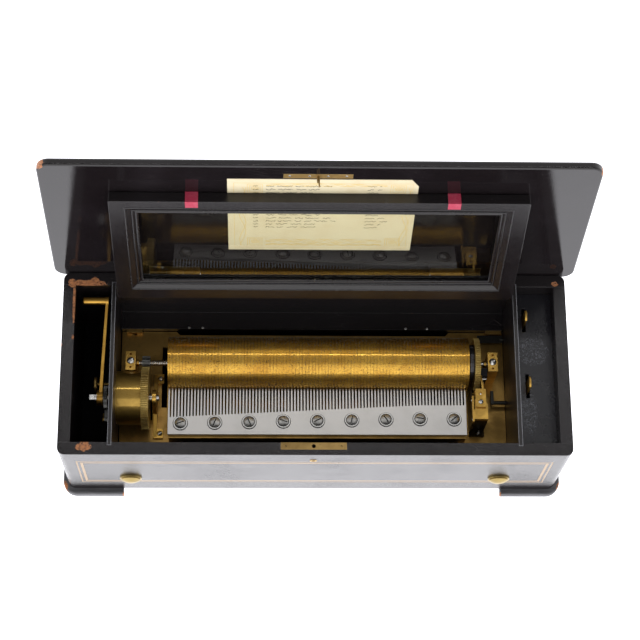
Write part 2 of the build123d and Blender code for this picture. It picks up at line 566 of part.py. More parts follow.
# ---- cylinder ------------------------------------------------------------------------------
def build_cylinder():
    y, z, r = CYLINDER_Y, AXIS_Z, CYLINDER_RADIUS
    inner, bore = r - 1.7, ARBOR_RADIUS + RUNNING_GAP
    sleeve = rod_x(CYLINDER_LEFT, CYLINDER_RIGHT, y, z, r)
    sleeve -= rod_x(CYLINDER_LEFT - 1, CYLINDER_RIGHT + 1, y, z, inner)
    caps = []
    for x in (CYLINDER_LEFT, CYLINDER_RIGHT - 3):
        caps.append(rod_x(x, x + 3, y, z, inner) - rod_x(x - 1, x + 4, y, z, bore))
    leaves = toothed(CYLINDER_PINION_TEETH, MODULE, in_mesh(CYLINDER_PINION_TEETH, 180))
    pinion = extrude_x(leaves, -173.4, -165.6, y, z)
    pinion -= rod_x(-175, -164, y, z, ARBOR_RADIUS)
    wheel = extrude_x(toothed(GREAT_WHEEL_TEETH, MODULE, great_direction()), 161.5, 167, y, z)
    wheel -= rod_x(160, 168, y, z, ARBOR_RADIUS)
    arbor = rod_x(-189, 185, y, z, ARBOR_RADIUS)
    arbor += rod_x(-190, -180.5, y, z, PIVOT_RADIUS) + rod_x(176, 186, y, z, PIVOT_RADIUS)
    snail = extrude_x(snail_outline(), 157.4, 161.2, y, z) - rod_x(156, 162, y, z, ARBOR_RADIUS)
    turns_from, turns_to = -165.0, CYLINDER_LEFT - 0.6
    coil = Helix(pitch=1.8, height=turns_to - turns_from, radius=2.75)
    wire = sweep(Plane(coil @ 0, z_dir=coil % 0) * Circle(0.55), path=coil)
    spring = Pos(turns_from, y, z) * Rot(0, 90, 0) * wire
    return dict(
        cylinder_sleeve=sleeve,
        cylinder_caps=group(caps),
        cylinder_arbor=arbor,
        cylinder_pinion=pinion,
        cylinder_great_wheel=wheel,
        tune_snail=snail,
        change_spring=spring,
    )


def great_direction():
    """The direction, in degrees, from the cylinder's axis to the governor's first arbor."""
    return degrees(atan2(FIRST_ARBOR_Z - AXIS_Z, FIRST_ARBOR_Y - CYLINDER_Y))


def snail_outline():
    """The tune snail: eight steps, one for each air, each a little lower than the last."""
    points = []
    for n in range(8):
        for k in range(4):
            angle, radius = 2 * pi * (n + k / 3.0001) / 8, 19.5 - 0.9 * n
            points.append((radius * cos(angle), radius * sin(angle)))
    return make_face(Polyline(*points, close=True))


def build_bearings():
    blocks, screws = [], []
    for x0, x1 in ((-190.0, -180.0), (176.0, 186.0)):
        block = slab(x0, x1, CYLINDER_Y - 10, CYLINDER_Y + 10, BED_TOP, DATUM + 74)
        block -= rod_x(x0 - 1, x1 + 1, CYLINDER_Y, AXIS_Z, PIVOT_RADIUS + RUNNING_GAP)
        middle = (x0 + x1) / 2
        for y in (CYLINDER_Y - 7, CYLINDER_Y + 7):
            block -= rod_z(middle, y, DATUM + 70, DATUM + 75, 1.2)
        blocks.append(block)
        screws.append(slotted_head(middle, CYLINDER_Y, DATUM + 74, 3.8, 1.8, slot=0.9, turn=35))
    return blocks, screws


# ---- spring barrel -------------------------------------------------------------------------
def mainspring():
    """The coiled mainspring: an even spiral strip between the arbor's core and the drum."""
    turns, inner, outer, thick = 7, 6.2, BARREL_RADIUS - BARREL_WALL - 1.2, 0.9
    steps = turns * 10

    def at(n, extra):
        angle, radius = 2 * pi * turns * n / steps, inner + (outer - inner) * n / steps + extra
        return radius * cos(angle), radius * sin(angle)

    one = Spline(*[at(n, 0) for n in range(steps + 1)])
    two = Spline(*[at(n, thick) for n in range(steps + 1)])
    ends = [Line(one @ 0, two @ 0), Line(one @ 1, two @ 1)]
    return make_face([one, two, *ends])


def build_barrel():
    y, z, r = BARREL_Y, AXIS_Z, BARREL_RADIUS
    drum = rod_x(DRUM_LEFT, WHEEL_LEFT, y, z, r) - rod_x(DRUM_LEFT + 2, WHEEL_LEFT + 1, y, z, r - BARREL_WALL)
    drum -= rod_x(DRUM_LEFT - 5, WHEEL_LEFT + 5, y, z, PIVOT_RADIUS + RUNNING_GAP)
    wheel = extrude_x(toothed(BARREL_WHEEL_TEETH, MODULE, 0), WHEEL_LEFT, WHEEL_RIGHT, y, z)
    wheel -= rod_x(-180, -160, y, z, PIVOT_RADIUS + RUNNING_GAP)
    spring = extrude_x(mainspring(), DRUM_LEFT + 3, WHEEL_LEFT - 1.5, y, z)
    arbor = rod_x(-221, -156, y, z, PIVOT_RADIUS) + rod_x(DRUM_LEFT + 3, WHEEL_LEFT - 1, y, z, 5.0)
    arbor += rod_x(WHEEL_RIGHT + 0.2, -162.8, y, z, 4.2)
    arbor += slab(-225.5, -218.3, y - SQUARE_HALF, y + SQUARE_HALF, z - SQUARE_HALF, z + SQUARE_HALF)
    return dict(barrel_drum=drum, barrel_great_wheel=wheel, mainspring=spring, winding_arbor=arbor)


def ratchet_outline(teeth=20, outer=12.0, inner=9.8):
    """A saw-toothed ratchet."""
    points = []
    for n in range(teeth):
        a, b = 2 * pi * n / teeth, 2 * pi * (n + 0.12) / teeth
        points += [(outer * cos(a), outer * sin(a)), (inner * cos(b), inner * sin(b))]
    return make_face(Polyline(*points, close=True))


def arch(y, z, base_half, crown, x0, x1):
    """A bridge plate: a round crown about an axis, on flanks that run down to the bedplate."""
    shape = extrude_x(Circle(crown), x0, x1, y, z)
    low = BED_TOP - z
    flank = [(-crown, 0), (crown, 0), (crown + 2, low + 9), (base_half, low + 3), (base_half, low),
             (-base_half, low), (-base_half, low + 3), (-crown - 2, low + 9)]
    return shape + extrude_x(make_face(Polyline(*flank, close=True)), x0, x1, y, z)


def build_bridges():
    y, z = BARREL_Y, AXIS_Z
    hole = PIVOT_RADIUS + RUNNING_GAP
    right = arch(y, z, 33, 8.5, -162.6, -158.8) - rod_x(-165, -150, y, z, hole)
    screws = []
    for side in (-1, 1):
        foot_y = y + side * 29
        right += slab(-162.6, -152.8, foot_y - 5, foot_y + 5, BED_TOP, BED_TOP + 3)
        screws.append(slotted_head(-155.9, foot_y, BED_TOP + 3, 2.7, 1.7, slot=0.8, turn=30))
    left = arch(y, z, 17, 8.5, -206.2, -203.2) + click_stud() - rod_x(-210, -200, y, z, hole)
    for side in (-1, 1):
        foot_y = y + side * 12
        left += slab(-214, -203.2, foot_y - 4, foot_y + 4, BED_TOP, BED_TOP + 3)
        screws.append(slotted_head(-210, foot_y, BED_TOP + 3, 2.6, 1.4, slot=0.8, turn=60))
    return left, right, screws


def build_winding():
    y, z = BARREL_Y, AXIS_Z
    ratchet = extrude_x(ratchet_outline(), -211, -207.5, y, z) - rod_x(-215, -200, y, z, PIVOT_RADIUS)
    hub = rod_x(*LEVER_HUB_X, y, z, 7.5)
    root = Vector(LEVER_HUB_X[0] + 3.5, y, z)
    run = Vector(*LEVER_TIP) - root
    along = Plane(origin=root, x_dir=Vector(1, 0, 0).cross(run).normalized(), z_dir=run.normalized())
    narrow = Plane(origin=root + run, x_dir=along.x_dir, z_dir=along.z_dir)
    arm = loft([along * Rectangle(9.5, 3.2), narrow * Rectangle(7.0, 2.6)])
    lever = hub + arm + rod_x(LEVER_TIP[0] - 1.8, LEVER_TIP[0] + 1.5, LEVER_TIP[1], LEVER_TIP[2], 4.6)
    lever -= rod_x(-222, -205, y, z, PIVOT_RADIUS)
    grip = rod_x(HANDLE_END, LEVER_TIP[0] - 1.8, LEVER_TIP[1], LEVER_TIP[2], HANDLE_RADIUS)
    grip = fillet(grip.edges().filter_by(GeomType.CIRCLE).group_by(Axis.X)[0], 1.6)
    return dict(ratchet_wheel=ratchet, winding_lever=lever, winding_handle=grip, ratchet_click=click_shape())


def click_shape():
    """The click: a tapered finger on a pivot boss, its nose just clear of the ratchet's teeth."""
    pivot_y, pivot_z = CLICK_PIVOT
    nose_y = BARREL_Y + CLICK_NOSE_RADIUS * cos(radians(CLICK_NOSE_ANGLE)) - pivot_y
    nose_z = AXIS_Z + CLICK_NOSE_RADIUS * sin(radians(CLICK_NOSE_ANGLE)) - pivot_z
    reach, direction = sqrt(nose_y**2 + nose_z**2), degrees(atan2(nose_z, nose_y))
    finger = make_face(Polyline((0, -2.4), (reach, -0.5), (reach, 0.5), (0, 2.4), close=True))
    shape = extrude_x(Rot(0, 0, direction) * finger, -211, -208, pivot_y, pivot_z)
    shape += rod_x(-211, -208, pivot_y, pivot_z, 3.2)
    return shape - rod_x(-212, -207, pivot_y, pivot_z, 1.5)


def click_stud():
    """The shouldered stud that the click turns on, and the lug that carries it."""
    pivot_y, pivot_z = CLICK_PIVOT
    stud = rod_x(-211.3, -203.2, pivot_y, pivot_z, 1.45)
    stud += rod_x(-207.7, -203.2, pivot_y, pivot_z, 3.0) + rod_x(-212.8, -211.3, pivot_y, pivot_z, 2.6)
    return stud + slab(-206.2, -203.2, pivot_y - 4, BARREL_Y, pivot_z - 4, pivot_z + 4)


# ---- governor ------------------------------------------------------------------------------
def build_governor():
    y1, z1, y2, z2 = FIRST_ARBOR_Y, FIRST_ARBOR_Z, SECOND_ARBOR_Y, SECOND_ARBOR_Z
    hole = 0.8
    top = GOVERNOR_TOP - 2.6
    left = slab(158.3, 160.0, -46.7, -8.4, BED_TOP, z1 + 4)
    left += slab(158.3, 160.0, -46.0, -19.0, z1 + 3, top)
    right = slab(172.4, 173.8, -44.0, -7.5, BED_TOP, z1 + 5)
    right += slab(172.4, 173.8, -42.0, -27.0, z1 + 4, top)
    platform = slab(159.0, 173.8, -43.4, -33.4, top - 3, top) + slab(161.0, 172.6, -34, -22.5, top - 3, top)
    platform += slab(159.0, 173.8, -43.4, -40.6, BED_TOP, top)
    base = slab(158.3, 173.8, -50.0, -8.4, BED_TOP, BED_TOP + 3)
    frame = left + right + platform + base
    for y, z in ((y1, z1), (y2, z2)):
        frame -= rod_x(155, 185, y, z, hole + RUNNING_GAP)
    frame -= rod_z(WORM_X, WORM_Y, BED_TOP - 1, BED_TOP + 4, hole + RUNNING_GAP)
    cock = slab(161.5, 172.1, -31.5, WORM_Y + 5.2, top, GOVERNOR_TOP)
    cock = fillet(cock.edges().filter_by(Axis.Z), 1.2)
    cock -= rod_z(WORM_X, WORM_Y, top - 1, GOVERNOR_TOP + 1, hole + RUNNING_GAP)
    cock -= rod_z(WORM_X, WORM_Y, GOVERNOR_TOP - 1.0, GOVERNOR_TOP + 1, 1.9)
    screws = [slotted_head(WORM_X, -26.0, GOVERNOR_TOP, 2.5, 1.2, slot=0.7, turn=40),
              slotted_head(WORM_X + 1.0, -46.6, BED_TOP + 3, 2.9, 2.0, slot=0.9, turn=70)]

    down = great_direction() + 180.0
    pinion = extrude_x(toothed(GOVERNOR_PINION_TEETH, MODULE, in_mesh(GOVERNOR_PINION_TEETH, down),
                               share=(0.46, 0.26)), 162, 164.5, y1, z1)
    across = degrees(atan2(z2 - z1, y2 - y1))
    first = rod_x(158.4, 173.6, y1, z1, hole) + pinion
    first += extrude_x(toothed(FIRST_WHEEL_TEETH, FINE_MODULE, across), 170.2, 171.4, y1, z1)
    small = extrude_x(toothed(SECOND_PINION_TEETH, FINE_MODULE, in_mesh(SECOND_PINION_TEETH, across + 180),
                              share=(0.46, 0.26)), 169.7, 171.9, y2, z2)
    worm_wheel = extrude_x(toothed(WORM_WHEEL_TEETH, FINE_MODULE, 0), WORM_X - 0.9, WORM_X + 0.9, y2, z2)
    second = rod_x(158.4, 173.6, y2, z2, hole) + small + worm_wheel
    worm = rod_z(WORM_X, WORM_Y, BED_TOP + 0.2, GOVERNOR_TOP - 1.2, hole)
    thread = worm_thread(13.0)
    worm += Pos(WORM_X, WORM_Y, z2 - 6.5) * thread
    fan = rod_z(WORM_X, WORM_Y, BED_TOP + 3.6, BED_TOP + 10.4, 1.5)
    fan += slab(WORM_X - 5.3, WORM_X + 5.3, WORM_Y - 0.35, WORM_Y + 0.35, BED_TOP + 3.6, BED_TOP + 10.4)
    fan -= rod_z(WORM_X, WORM_Y, BED_TOP, BED_TOP + 15, hole)
    return dict(governor_frame=frame, governor_cock=cock, governor_first_wheel=first,
                governor_second_wheel=second, governor_worm=worm, governor_fan=fan), screws


def worm_thread(length):
    """The governor's three-start worm, as a lobed bar twisted along its length."""
    lobes = []
    for n in range(WORM_STARTS):
        for share, radius in ((-0.36, 1.15), (-0.12, WORM_RADIUS), (0.12, WORM_RADIUS), (0.36, 1.15)):
            angle = 2 * pi * (n + share) / WORM_STARTS
            lobes.append((radius * cos(angle), radius * sin(angle)))
    section = make_face(Polyline(*lobes, close=True))
    turn = 360 * length / (pi * FINE_MODULE * WORM_STARTS)
    return Solid.extrude_linear_with_rotation(section.face(), (0, 0, 0), (0, 0, length), turn)


# ---- control levers ------------------------------------------------------------------------
def finger_lever(x, y, z, rod_from):
    """A finger blade that stands through its slot, on a shaft that runs into the movement."""
    shaft = rod_x(rod_from, INNER_X + 5, y, z, LEVER_SHAFT)
    hub = rod_x(x - 3, x + 3, y, z, 5.0)
    stem = slab(x - 0.9, x + 0.9, y - 3.2, y + 3.2, z, PANEL_TOP - 2)
    blade = slab(x - 0.9, x + 0.9, y - 5.5, y + 5.5, PANEL_TOP - 9, BLADE_TOP)
    rounding = rod_x(x - 2, x + 2, y, BLADE_TOP - 8.0, 8.0)
    rounding += slab(x - 2, x + 2, y - 9, y + 9, z, BLADE_TOP - 8)
    return shaft + hub + stem + (blade & rounding)


def build_controls():
    start = finger_lever(START_X, START_Y, START_Z, 181.0)
    start += slab(181, 184, START_Y - 2, START_Y + 12, START_Z - 2, START_Z + 2)
    change = finger_lever(CHANGE_X, CHANGE_Y, CHANGE_Z, 193.0)
    change += slab(170, 196, CHANGE_Y - 4, CHANGE_Y + 4, CHANGE_Z - 1, CHANGE_Z + 1)
    return dict(start_stop_lever=start, change_lever=change)


# ---- the whole object ----------------------------------------------------------------------
def build_all():
    nodes = build_case()
    for section in (build_partitions, build_bolts, build_hinges, build_lid, build_glass_lid, build_bed,
                    build_comb, build_cylinder, build_barrel, build_winding, build_controls):
        nodes.update(section())
    blocks, bearing_screws = build_bearings()
    left, right, bridge_screws = build_bridges()
    governor, governor_screws = build_governor()
    nodes.update(governor)
    nodes.update(
        arbor_bearings=group(blocks),
        barrel_bridge_left=left,
        barrel_bridge_right=right,
        movement_screws=group(bearing_screws + bridge_screws + governor_screws),
    )
    return nodes


def seat(nodes):
    """How far everything moves so that the origin lies under the middle of the whole box."""
    boxes = [shape.bounding_box() for shape in nodes.values()]
    low_x, high_x = min(b.min.X for b in boxes), max(b.max.X for b in boxes)
    low_y, high_y = min(b.min.Y for b in boxes), max(b.max.Y for b in boxes)
    return (-(low_x + high_x) / 2, -(low_y + high_y) / 2, -min(b.min.Z for b in boxes))


def main():
    nodes = build_all()
    shift = seat(nodes)
    os.makedirs("parts", exist_ok=True)
    for name, shape in nodes.items():
        export_step(Pos(*shift) * shape, f"parts/{name}.step")
    print(len(nodes), "nodes, shift", shift)


if __name__ == "__main__":
    main()
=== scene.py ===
import bpy
import math
import random
from mathutils import Matrix, Vector


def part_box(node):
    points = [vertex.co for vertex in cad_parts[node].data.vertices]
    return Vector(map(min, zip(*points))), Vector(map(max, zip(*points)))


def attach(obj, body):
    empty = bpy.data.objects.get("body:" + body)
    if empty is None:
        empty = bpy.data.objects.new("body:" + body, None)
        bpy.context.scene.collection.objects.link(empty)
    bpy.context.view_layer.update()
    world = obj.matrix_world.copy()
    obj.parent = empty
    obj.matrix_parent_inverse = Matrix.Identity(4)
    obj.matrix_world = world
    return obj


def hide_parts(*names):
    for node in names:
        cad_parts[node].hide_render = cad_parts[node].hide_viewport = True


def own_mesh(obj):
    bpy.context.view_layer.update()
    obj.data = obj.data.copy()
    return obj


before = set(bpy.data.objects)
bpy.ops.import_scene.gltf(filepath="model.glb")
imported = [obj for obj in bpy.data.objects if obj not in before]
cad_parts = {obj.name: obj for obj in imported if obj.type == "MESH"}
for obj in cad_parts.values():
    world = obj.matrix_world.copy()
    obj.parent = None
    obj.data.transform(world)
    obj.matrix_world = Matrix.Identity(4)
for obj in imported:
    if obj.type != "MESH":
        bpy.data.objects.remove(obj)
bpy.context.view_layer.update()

MM = 0.001
CORNERS = ((-1, -1), (1, -1), (1, 1), (-1, 1))

# ---- places in the case, in millimetres --------------------------------------------------------
FRONT_LOW, FRONT_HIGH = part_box("front_board")
BACK_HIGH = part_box("back_board")[1]
CASE_MIDDLE_Y = (FRONT_LOW.y + BACK_HIGH.y) / 2
RIM = 122.0
LID_AXIS = (94.3, RIM)
LID_OPEN = math.radians(98.6)
GLASS_AXIS = (78.0, RIM - 2.0)
GLASS_OPEN = math.radians(104.2)
LOCK_X = -2.4

AXIS = (18.0, 66.0)
CYLINDER_RADIUS = 26.2
SLEEVE_LEFT, SLEEVE_RIGHT = -146.0, 155.0

TEETH = 93
TOOTH_SHARE = 0.56
COMB_LEFT, COMB_RIGHT = -146.8, 154.7
COMB_PITCH = 301.5 / TEETH
COMB_TOP = 66.0
COMB_FRONT = -56.7
ROOT_BASS, ROOT_RISE, ROOT_RISE_END = -39.0, 13.3, 108.0


def at(x, y, z):
    """A place in millimetres: from the middle of the case's footprint, with the rim at z = RIM."""
    return Vector((x * MM, CASE_MIDDLE_Y + y * MM, FRONT_HIGH.z + (z - RIM) * MM))


def swung(x, y, z, axis, angle):
    """Where a point of a closed lid stands once the lid is open."""
    dy, dz = y - axis[0], z - axis[1]
    c, s = math.cos(angle), math.sin(angle)
    return at(x, axis[0] + dy * c + dz * s, axis[1] - dy * s + dz * c)


def lid_at(x, y, z):
    """A place on the outer lid, given as if it were closed."""
    return swung(x, y, z, LID_AXIS, LID_OPEN)


def glass_at(x, y, z):
    """A place on the glazed lid, given as if it were closed."""
    return swung(x, y, z, GLASS_AXIS, GLASS_OPEN)


def tooth_x(tooth):
    """The middle of a comb tooth, counted from the bass end."""
    return COMB_LEFT + (tooth + TOOTH_SHARE / 2) * COMB_PITCH


# ---- camera ----------------------------------------------------------------------------------
CAMERA_TARGET = at(6.6, 67.2, 60)
CAMERA_DISTANCE = 1.905
CAMERA_ELEVATION = 70.21
CAMERA_YAW = -5.66
CAMERA_ROLL = 5.60
CAMERA_LENS = 104.4
CAMERA_SENSOR = 36


def make_camera():
    elevation, yaw, roll = (math.radians(a) for a in (CAMERA_ELEVATION, CAMERA_YAW, CAMERA_ROLL))
    back = Vector((math.sin(yaw) * math.cos(elevation), -math.cos(yaw) * math.cos(elevation),
                   math.sin(elevation)))
    level = Vector((math.cos(yaw), math.sin(yaw), 0))
    up = level.cross(-back)
    right = math.cos(roll) * level + math.sin(roll) * up
    up = -math.sin(roll) * level + math.cos(roll) * up
    data = bpy.data.cameras.new("camera")
    data.lens, data.sensor_width = CAMERA_LENS, CAMERA_SENSOR
    camera = bpy.data.objects.new("camera", data)
    axes = Matrix((right, up, back)).transposed().to_4x4()
    camera.matrix_world = Matrix.Translation(CAMERA_TARGET + CAMERA_DISTANCE * back) @ axes
    bpy.context.scene.collection.objects.link(camera)
    bpy.context.scene.camera = camera


# ---- material building blocks ------------------------------------------------------------------
EDGE_TURN = (0.02, 0.12)
BLOT_GRAIN = 310


class Shading:
    """A material under construction, with short calls for the nodes that the finishes share."""

    def __init__(self, name):
        self.material = bpy.data.materials.new(name)
        self.material.use_nodes = True
        self.tree = self.material.node_tree
        self.tree.nodes.clear()
        self.out = self.tree.nodes.new("ShaderNodeOutputMaterial")
        self.place = self.node("ShaderNodeTexCoord").outputs["Object"]

    def node(self, kind, inputs=None, **settings):
        made = self.tree.nodes.new(kind)
        for key, value in settings.items():
            setattr(made, key, value)
        for key, value in (inputs or {}).items():
            self.feed(made.inputs[key], value)
        return made

    def feed(self, socket, value):
        if isinstance(value, bpy.types.NodeSocket):
            self.tree.links.new(value, socket)
        elif hasattr(value, "__len__") and socket.type == "RGBA":
            socket.default_value = (*value[:3], 1)
        else:
            socket.default_value = value

    def stretched(self, stretch):
        """Object coordinates scaled unevenly, for grain and scratches."""
        return self.node("ShaderNodeMapping", {"Vector": self.place, "Scale": stretch}).outputs[0]

    def noise(self, scale, detail, rough=0.55, stretch=None, distortion=0.0):
        where = self.stretched(stretch) if stretch else self.place
        made = self.node("ShaderNodeTexNoise", {"Vector": where, "Scale": scale, "Detail": detail,
                                                "Roughness": rough, "Distortion": distortion})
        return made.outputs["Fac"]

    def math(self, operation, a, b=0.0, c=0.0, clamp=False):
        made = self.node("ShaderNodeMath", {0: a, 1: b, 2: c}, operation=operation, use_clamp=clamp)
        return made.outputs[0]

    def span(self, value, low, high, to_low=0.0, to_high=1.0):
        """Maps low..high smoothly to to_low..to_high."""
        ends = {"Value": value, "From Min": low, "From Max": high, "To Min": to_low, "To Max": to_high}
        return self.node("ShaderNodeMapRange", ends, interpolation_type="SMOOTHSTEP").outputs["Result"]

    def mix(self, share, a, b):
        made = self.node("ShaderNodeMix", data_type="RGBA")
        for socket, value in zip((made.inputs[0], made.inputs[6], made.inputs[7]), (share, a, b)):
            self.feed(socket, value)
        return made.outputs[2]

    def vector(self, operation, a, b=(0, 0, 0)):
        made = self.node("ShaderNodeVectorMath", {0: a, 1: b}, operation=operation)
        return made.outputs["Value" if operation in ("LENGTH", "DOT_PRODUCT") else "Vector"]

    def along(self, axis):
        """The object coordinate on one axis, in metres."""
        return self.node("ShaderNodeSeparateXYZ", {"Vector": self.place}).outputs[axis]

    def largest(self, masks):
        total = masks[0]
        for mask in masks[1:]:
            total = self.math("MAXIMUM", total, mask)
        return total

    def blot(self, centre, size, ragged):
        """1 inside a ragged ellipsoid round a place, 0 outside."""
        away = self.vector("SUBTRACT", self.place, tuple(centre))
        away = self.vector("DIVIDE", away, tuple(s * MM for s in size))
        border = self.math("MULTIPLY_ADD", self.noise(BLOT_GRAIN, 6, 0.7), 2 * ragged, -ragged)
        return self.span(self.math("ADD", self.vector("LENGTH", away), border), 0.92, 1.0, 1.0, 0.0)

    def scratches(self, scale, stretch, width, share):
        """Fine straight scratches: the cell borders of a stretched pattern, broken up by noise."""
        cells = self.node("ShaderNodeTexVoronoi", {"Vector": self.stretched(stretch), "Scale": scale},
                          feature="DISTANCE_TO_EDGE")
        line = self.span(cells.outputs["Distance"], 0.0, width, 1.0, 0.0)
        return self.math("MULTIPLY", line, self.span(self.noise(scale * 0.4, 3), share, share + 0.12))

    def edge(self, radius):
        """1 near sharp edges, 0 on flat faces, and the rounded normal that found them."""
        rounded = self.node("ShaderNodeBevel", {"Radius": radius}, samples=4).outputs[0]
        flat = self.node("ShaderNodeNewGeometry").outputs["Normal"]
        turn = self.math("SUBTRACT", 1.0, self.vector("DOT_PRODUCT", rounded, flat))
        return self.span(turn, *EDGE_TURN), rounded

    def bump(self, height, distance, normal=None):
        inputs = {"Height": height, "Distance": distance}
        if normal is not None:
            inputs["Normal"] = normal
        return self.node("ShaderNodeBump", inputs).outputs[0]

    def principled(self, inputs):
        shader = self.node("ShaderNodeBsdfPrincipled")
        for key, value in inputs.items():
            self.feed(shader.inputs[key.replace("_", " ")], value)
        return shader.outputs[0]

    def blended(self, share, a, b):
        return self.node("ShaderNodeMixShader", {0: share, 1: a, 2: b}).outputs[0]

    def finished(self, shader):
        self.tree.links.new(shader, self.out.inputs["Surface"])
        return self.material

    def surface(self, **inputs):
        return self.finished(self.principled(inputs))

    def two_lustres(self, share, sharp, **inputs):
        """A metal whose rough skin carries a share of sharper polish."""
        skin = self.principled(inputs)
        polish = self.principled({**inputs, "Roughness": sharp})
        return self.finished(self.blended(share, skin, polish))


# ---- finishes ------------------------------------------------------------------------------------
WOOD_GRAIN = (1, 14, 14)
BARE_WOOD = (0.56, 0.22, 0.08)
BARE_WOOD_DARK = (0.16, 0.055, 0.02)
POLISH = (0.013, 0.0098, 0.0105)
POLISH_DARK = (0.005, 0.004, 0.005)
POLISH_HAZE = (0.022, 0.018, 0.021)
POLISH_SHEEN_GREY = (0.11, 0.11, 0.12)
DUST = (0.2, 0.19, 0.18)
SCRATCH = (0.2, 0.18, 0.17)
SCUFF = (0.24, 0.25, 0.29)
WORN_LINE = (0.085, 0.08, 0.082)


def ebonised(name, wear=(), scuffs=(), edge_wear=0.64, roughness=0.17, dust=0.35, edge_line=0.3,
             line_tone=WORN_LINE, edge_radius=0.0009, relief=0.00008, cloudy=0.14, sheen_lift=0.0,
             tint=POLISH):
    """Aged black polish over reddish wood: haze, dust, scratches, chipped edges and bare patches."""
    s = Shading(name)
    flow = s.noise(60, 5, 0.6, stretch=WOOD_GRAIN)
    tone = s.mix(flow, POLISH_DARK, tint)
    haze = s.span(s.noise(14, 5, 0.65), 0.42, 0.78)
    tone = s.mix(s.math("MULTIPLY", haze, 0.4), tone, POLISH_HAZE)
    # Painted reflection: a grey lift of the tone, standing for the sheen of the bright floor.
    if sheen_lift:
        tone = s.mix(s.math("MULTIPLY", s.span(flow, 0.3, 0.7, 0.5, 1.0), sheen_lift), tone, POLISH_SHEEN_GREY)
    specks = s.span(s.noise(900, 2, 0.5), 0.72, 0.78)
    tone = s.mix(s.math("MULTIPLY", specks, dust), tone, DUST)
    lines = s.scratches(26, (1, 5, 5), 0.012, 0.55)
    tone = s.mix(s.math("MULTIPLY", lines, 0.16), tone, SCRATCH)
    near_edge, rounded = s.edge(edge_radius)
    tone = s.mix(s.math("MULTIPLY", near_edge, edge_line), tone, line_tone)
    for patch in scuffs:
        rubbed = s.math("MULTIPLY", s.blot(*patch), s.span(s.noise(620, 6, 0.8), 0.5, 0.62))
        tone = s.mix(s.math("MULTIPLY", rubbed, 0.55), tone, SCUFF)
    broken = s.span(s.noise(330, 6, 0.75), edge_wear, edge_wear + 0.06)
    bare = s.math("MULTIPLY", near_edge, broken)
    if wear:
        left_black = s.span(s.noise(400, 6, 0.85), 0.43, 0.47)
        bare = s.largest([bare] + [s.math("MULTIPLY", s.blot(*patch), left_black) for patch in wear])
    fibres = s.noise(240, 6, 0.75, stretch=WOOD_GRAIN)
    wood = s.mix(s.span(fibres, 0.35, 0.6), BARE_WOOD_DARK, BARE_WOOD)
    colour = s.mix(bare, tone, wood)
    rough = s.math("MULTIPLY_ADD", haze, cloudy, roughness)
    rough = s.math("ADD", rough, s.math("MULTIPLY", bare, 0.45), clamp=True)
    height = s.math("SUBTRACT", s.noise(420, 4, 0.6, stretch=WOOD_GRAIN), s.math("MULTIPLY", bare, 2.2))
    return s.surface(Base_Color=colour, Roughness=rough, Normal=s.bump(height, relief, rounded))


def pit_black():
    """The unlit floor of the case: dull, dusty black paint, kept darker and duller than the case as
    painted shade.
    """
    s = Shading("pit black")
    dust = s.span(s.noise(300, 5, 0.7), 0.55, 0.75)
    colour = s.mix(s.math("MULTIPLY", dust, 0.3), (0.0025, 0.002, 0.003), (0.012, 0.01, 0.012))
    return s.surface(Base_Color=colour, Roughness=0.7, Specular_IOR_Level=0.12)


BRASS_SPECK = (0.07, 0.042, 0.018)
BRASS_EDGE = (0.95, 0.7, 0.3)
BRASS_GREY = (0.055, 0.055, 0.05)
BRASS_SHADE = (0.03, 0.02, 0.01)


def brass(name, bright=(0.7, 0.42, 0.1), dull=(0.3, 0.17, 0.045), stain=0.5, roughness=0.3,
          lustre=0.12, grey_before=None, painted_shade_below=None):
    """Old brass: golden metal with brown staining, fingered patches and fine lines.

    grey_before is an x, left of which it is greyed over.
    painted_shade_below is a height, under which it is darkened with painted shade.
    """
    s = Shading(name)
    clouds = s.span(s.noise(34, 6, 0.68, distortion=0.4), 0.36, 0.68)
    colour = s.mix(s.math("MULTIPLY", clouds, stain), bright, dull)
    specks = s.span(s.noise(520, 3, 0.6), 0.66, 0.74)
    colour = s.mix(s.math("MULTIPLY", specks, 0.6), colour, BRASS_SPECK)
    lines = s.noise(700, 3, 0.6)
    near_edge, rounded = s.edge(0.0004)
    colour = s.mix(s.math("MULTIPLY", near_edge, 0.35), colour, BRASS_EDGE)
    if grey_before is not None:
        left = s.span(s.along("X"), (grey_before - 1) * MM, grey_before * MM, 1.0, 0.0)
        colour = s.mix(left, colour, BRASS_GREY)
    # Painted shade: the colour is darkened towards the bottom, under the given height.
    if painted_shade_below is not None:
        top = at(0, 0, painted_shade_below).z
        low = s.span(s.along("Z"), top - 3 * MM, top, 1.0, 0.0)
        colour = s.mix(low, colour, BRASS_SHADE)
    rough = s.math("MULTIPLY_ADD", clouds, 0.2, roughness)
    rough = s.math("MULTIPLY_ADD", lines, 0.12, rough)
    return s.two_lustres(lustre, 0.1, Base_Color=colour, Metallic=1.0, Roughness=rough,
                         Normal=s.bump(lines, 0.00003, rounded))


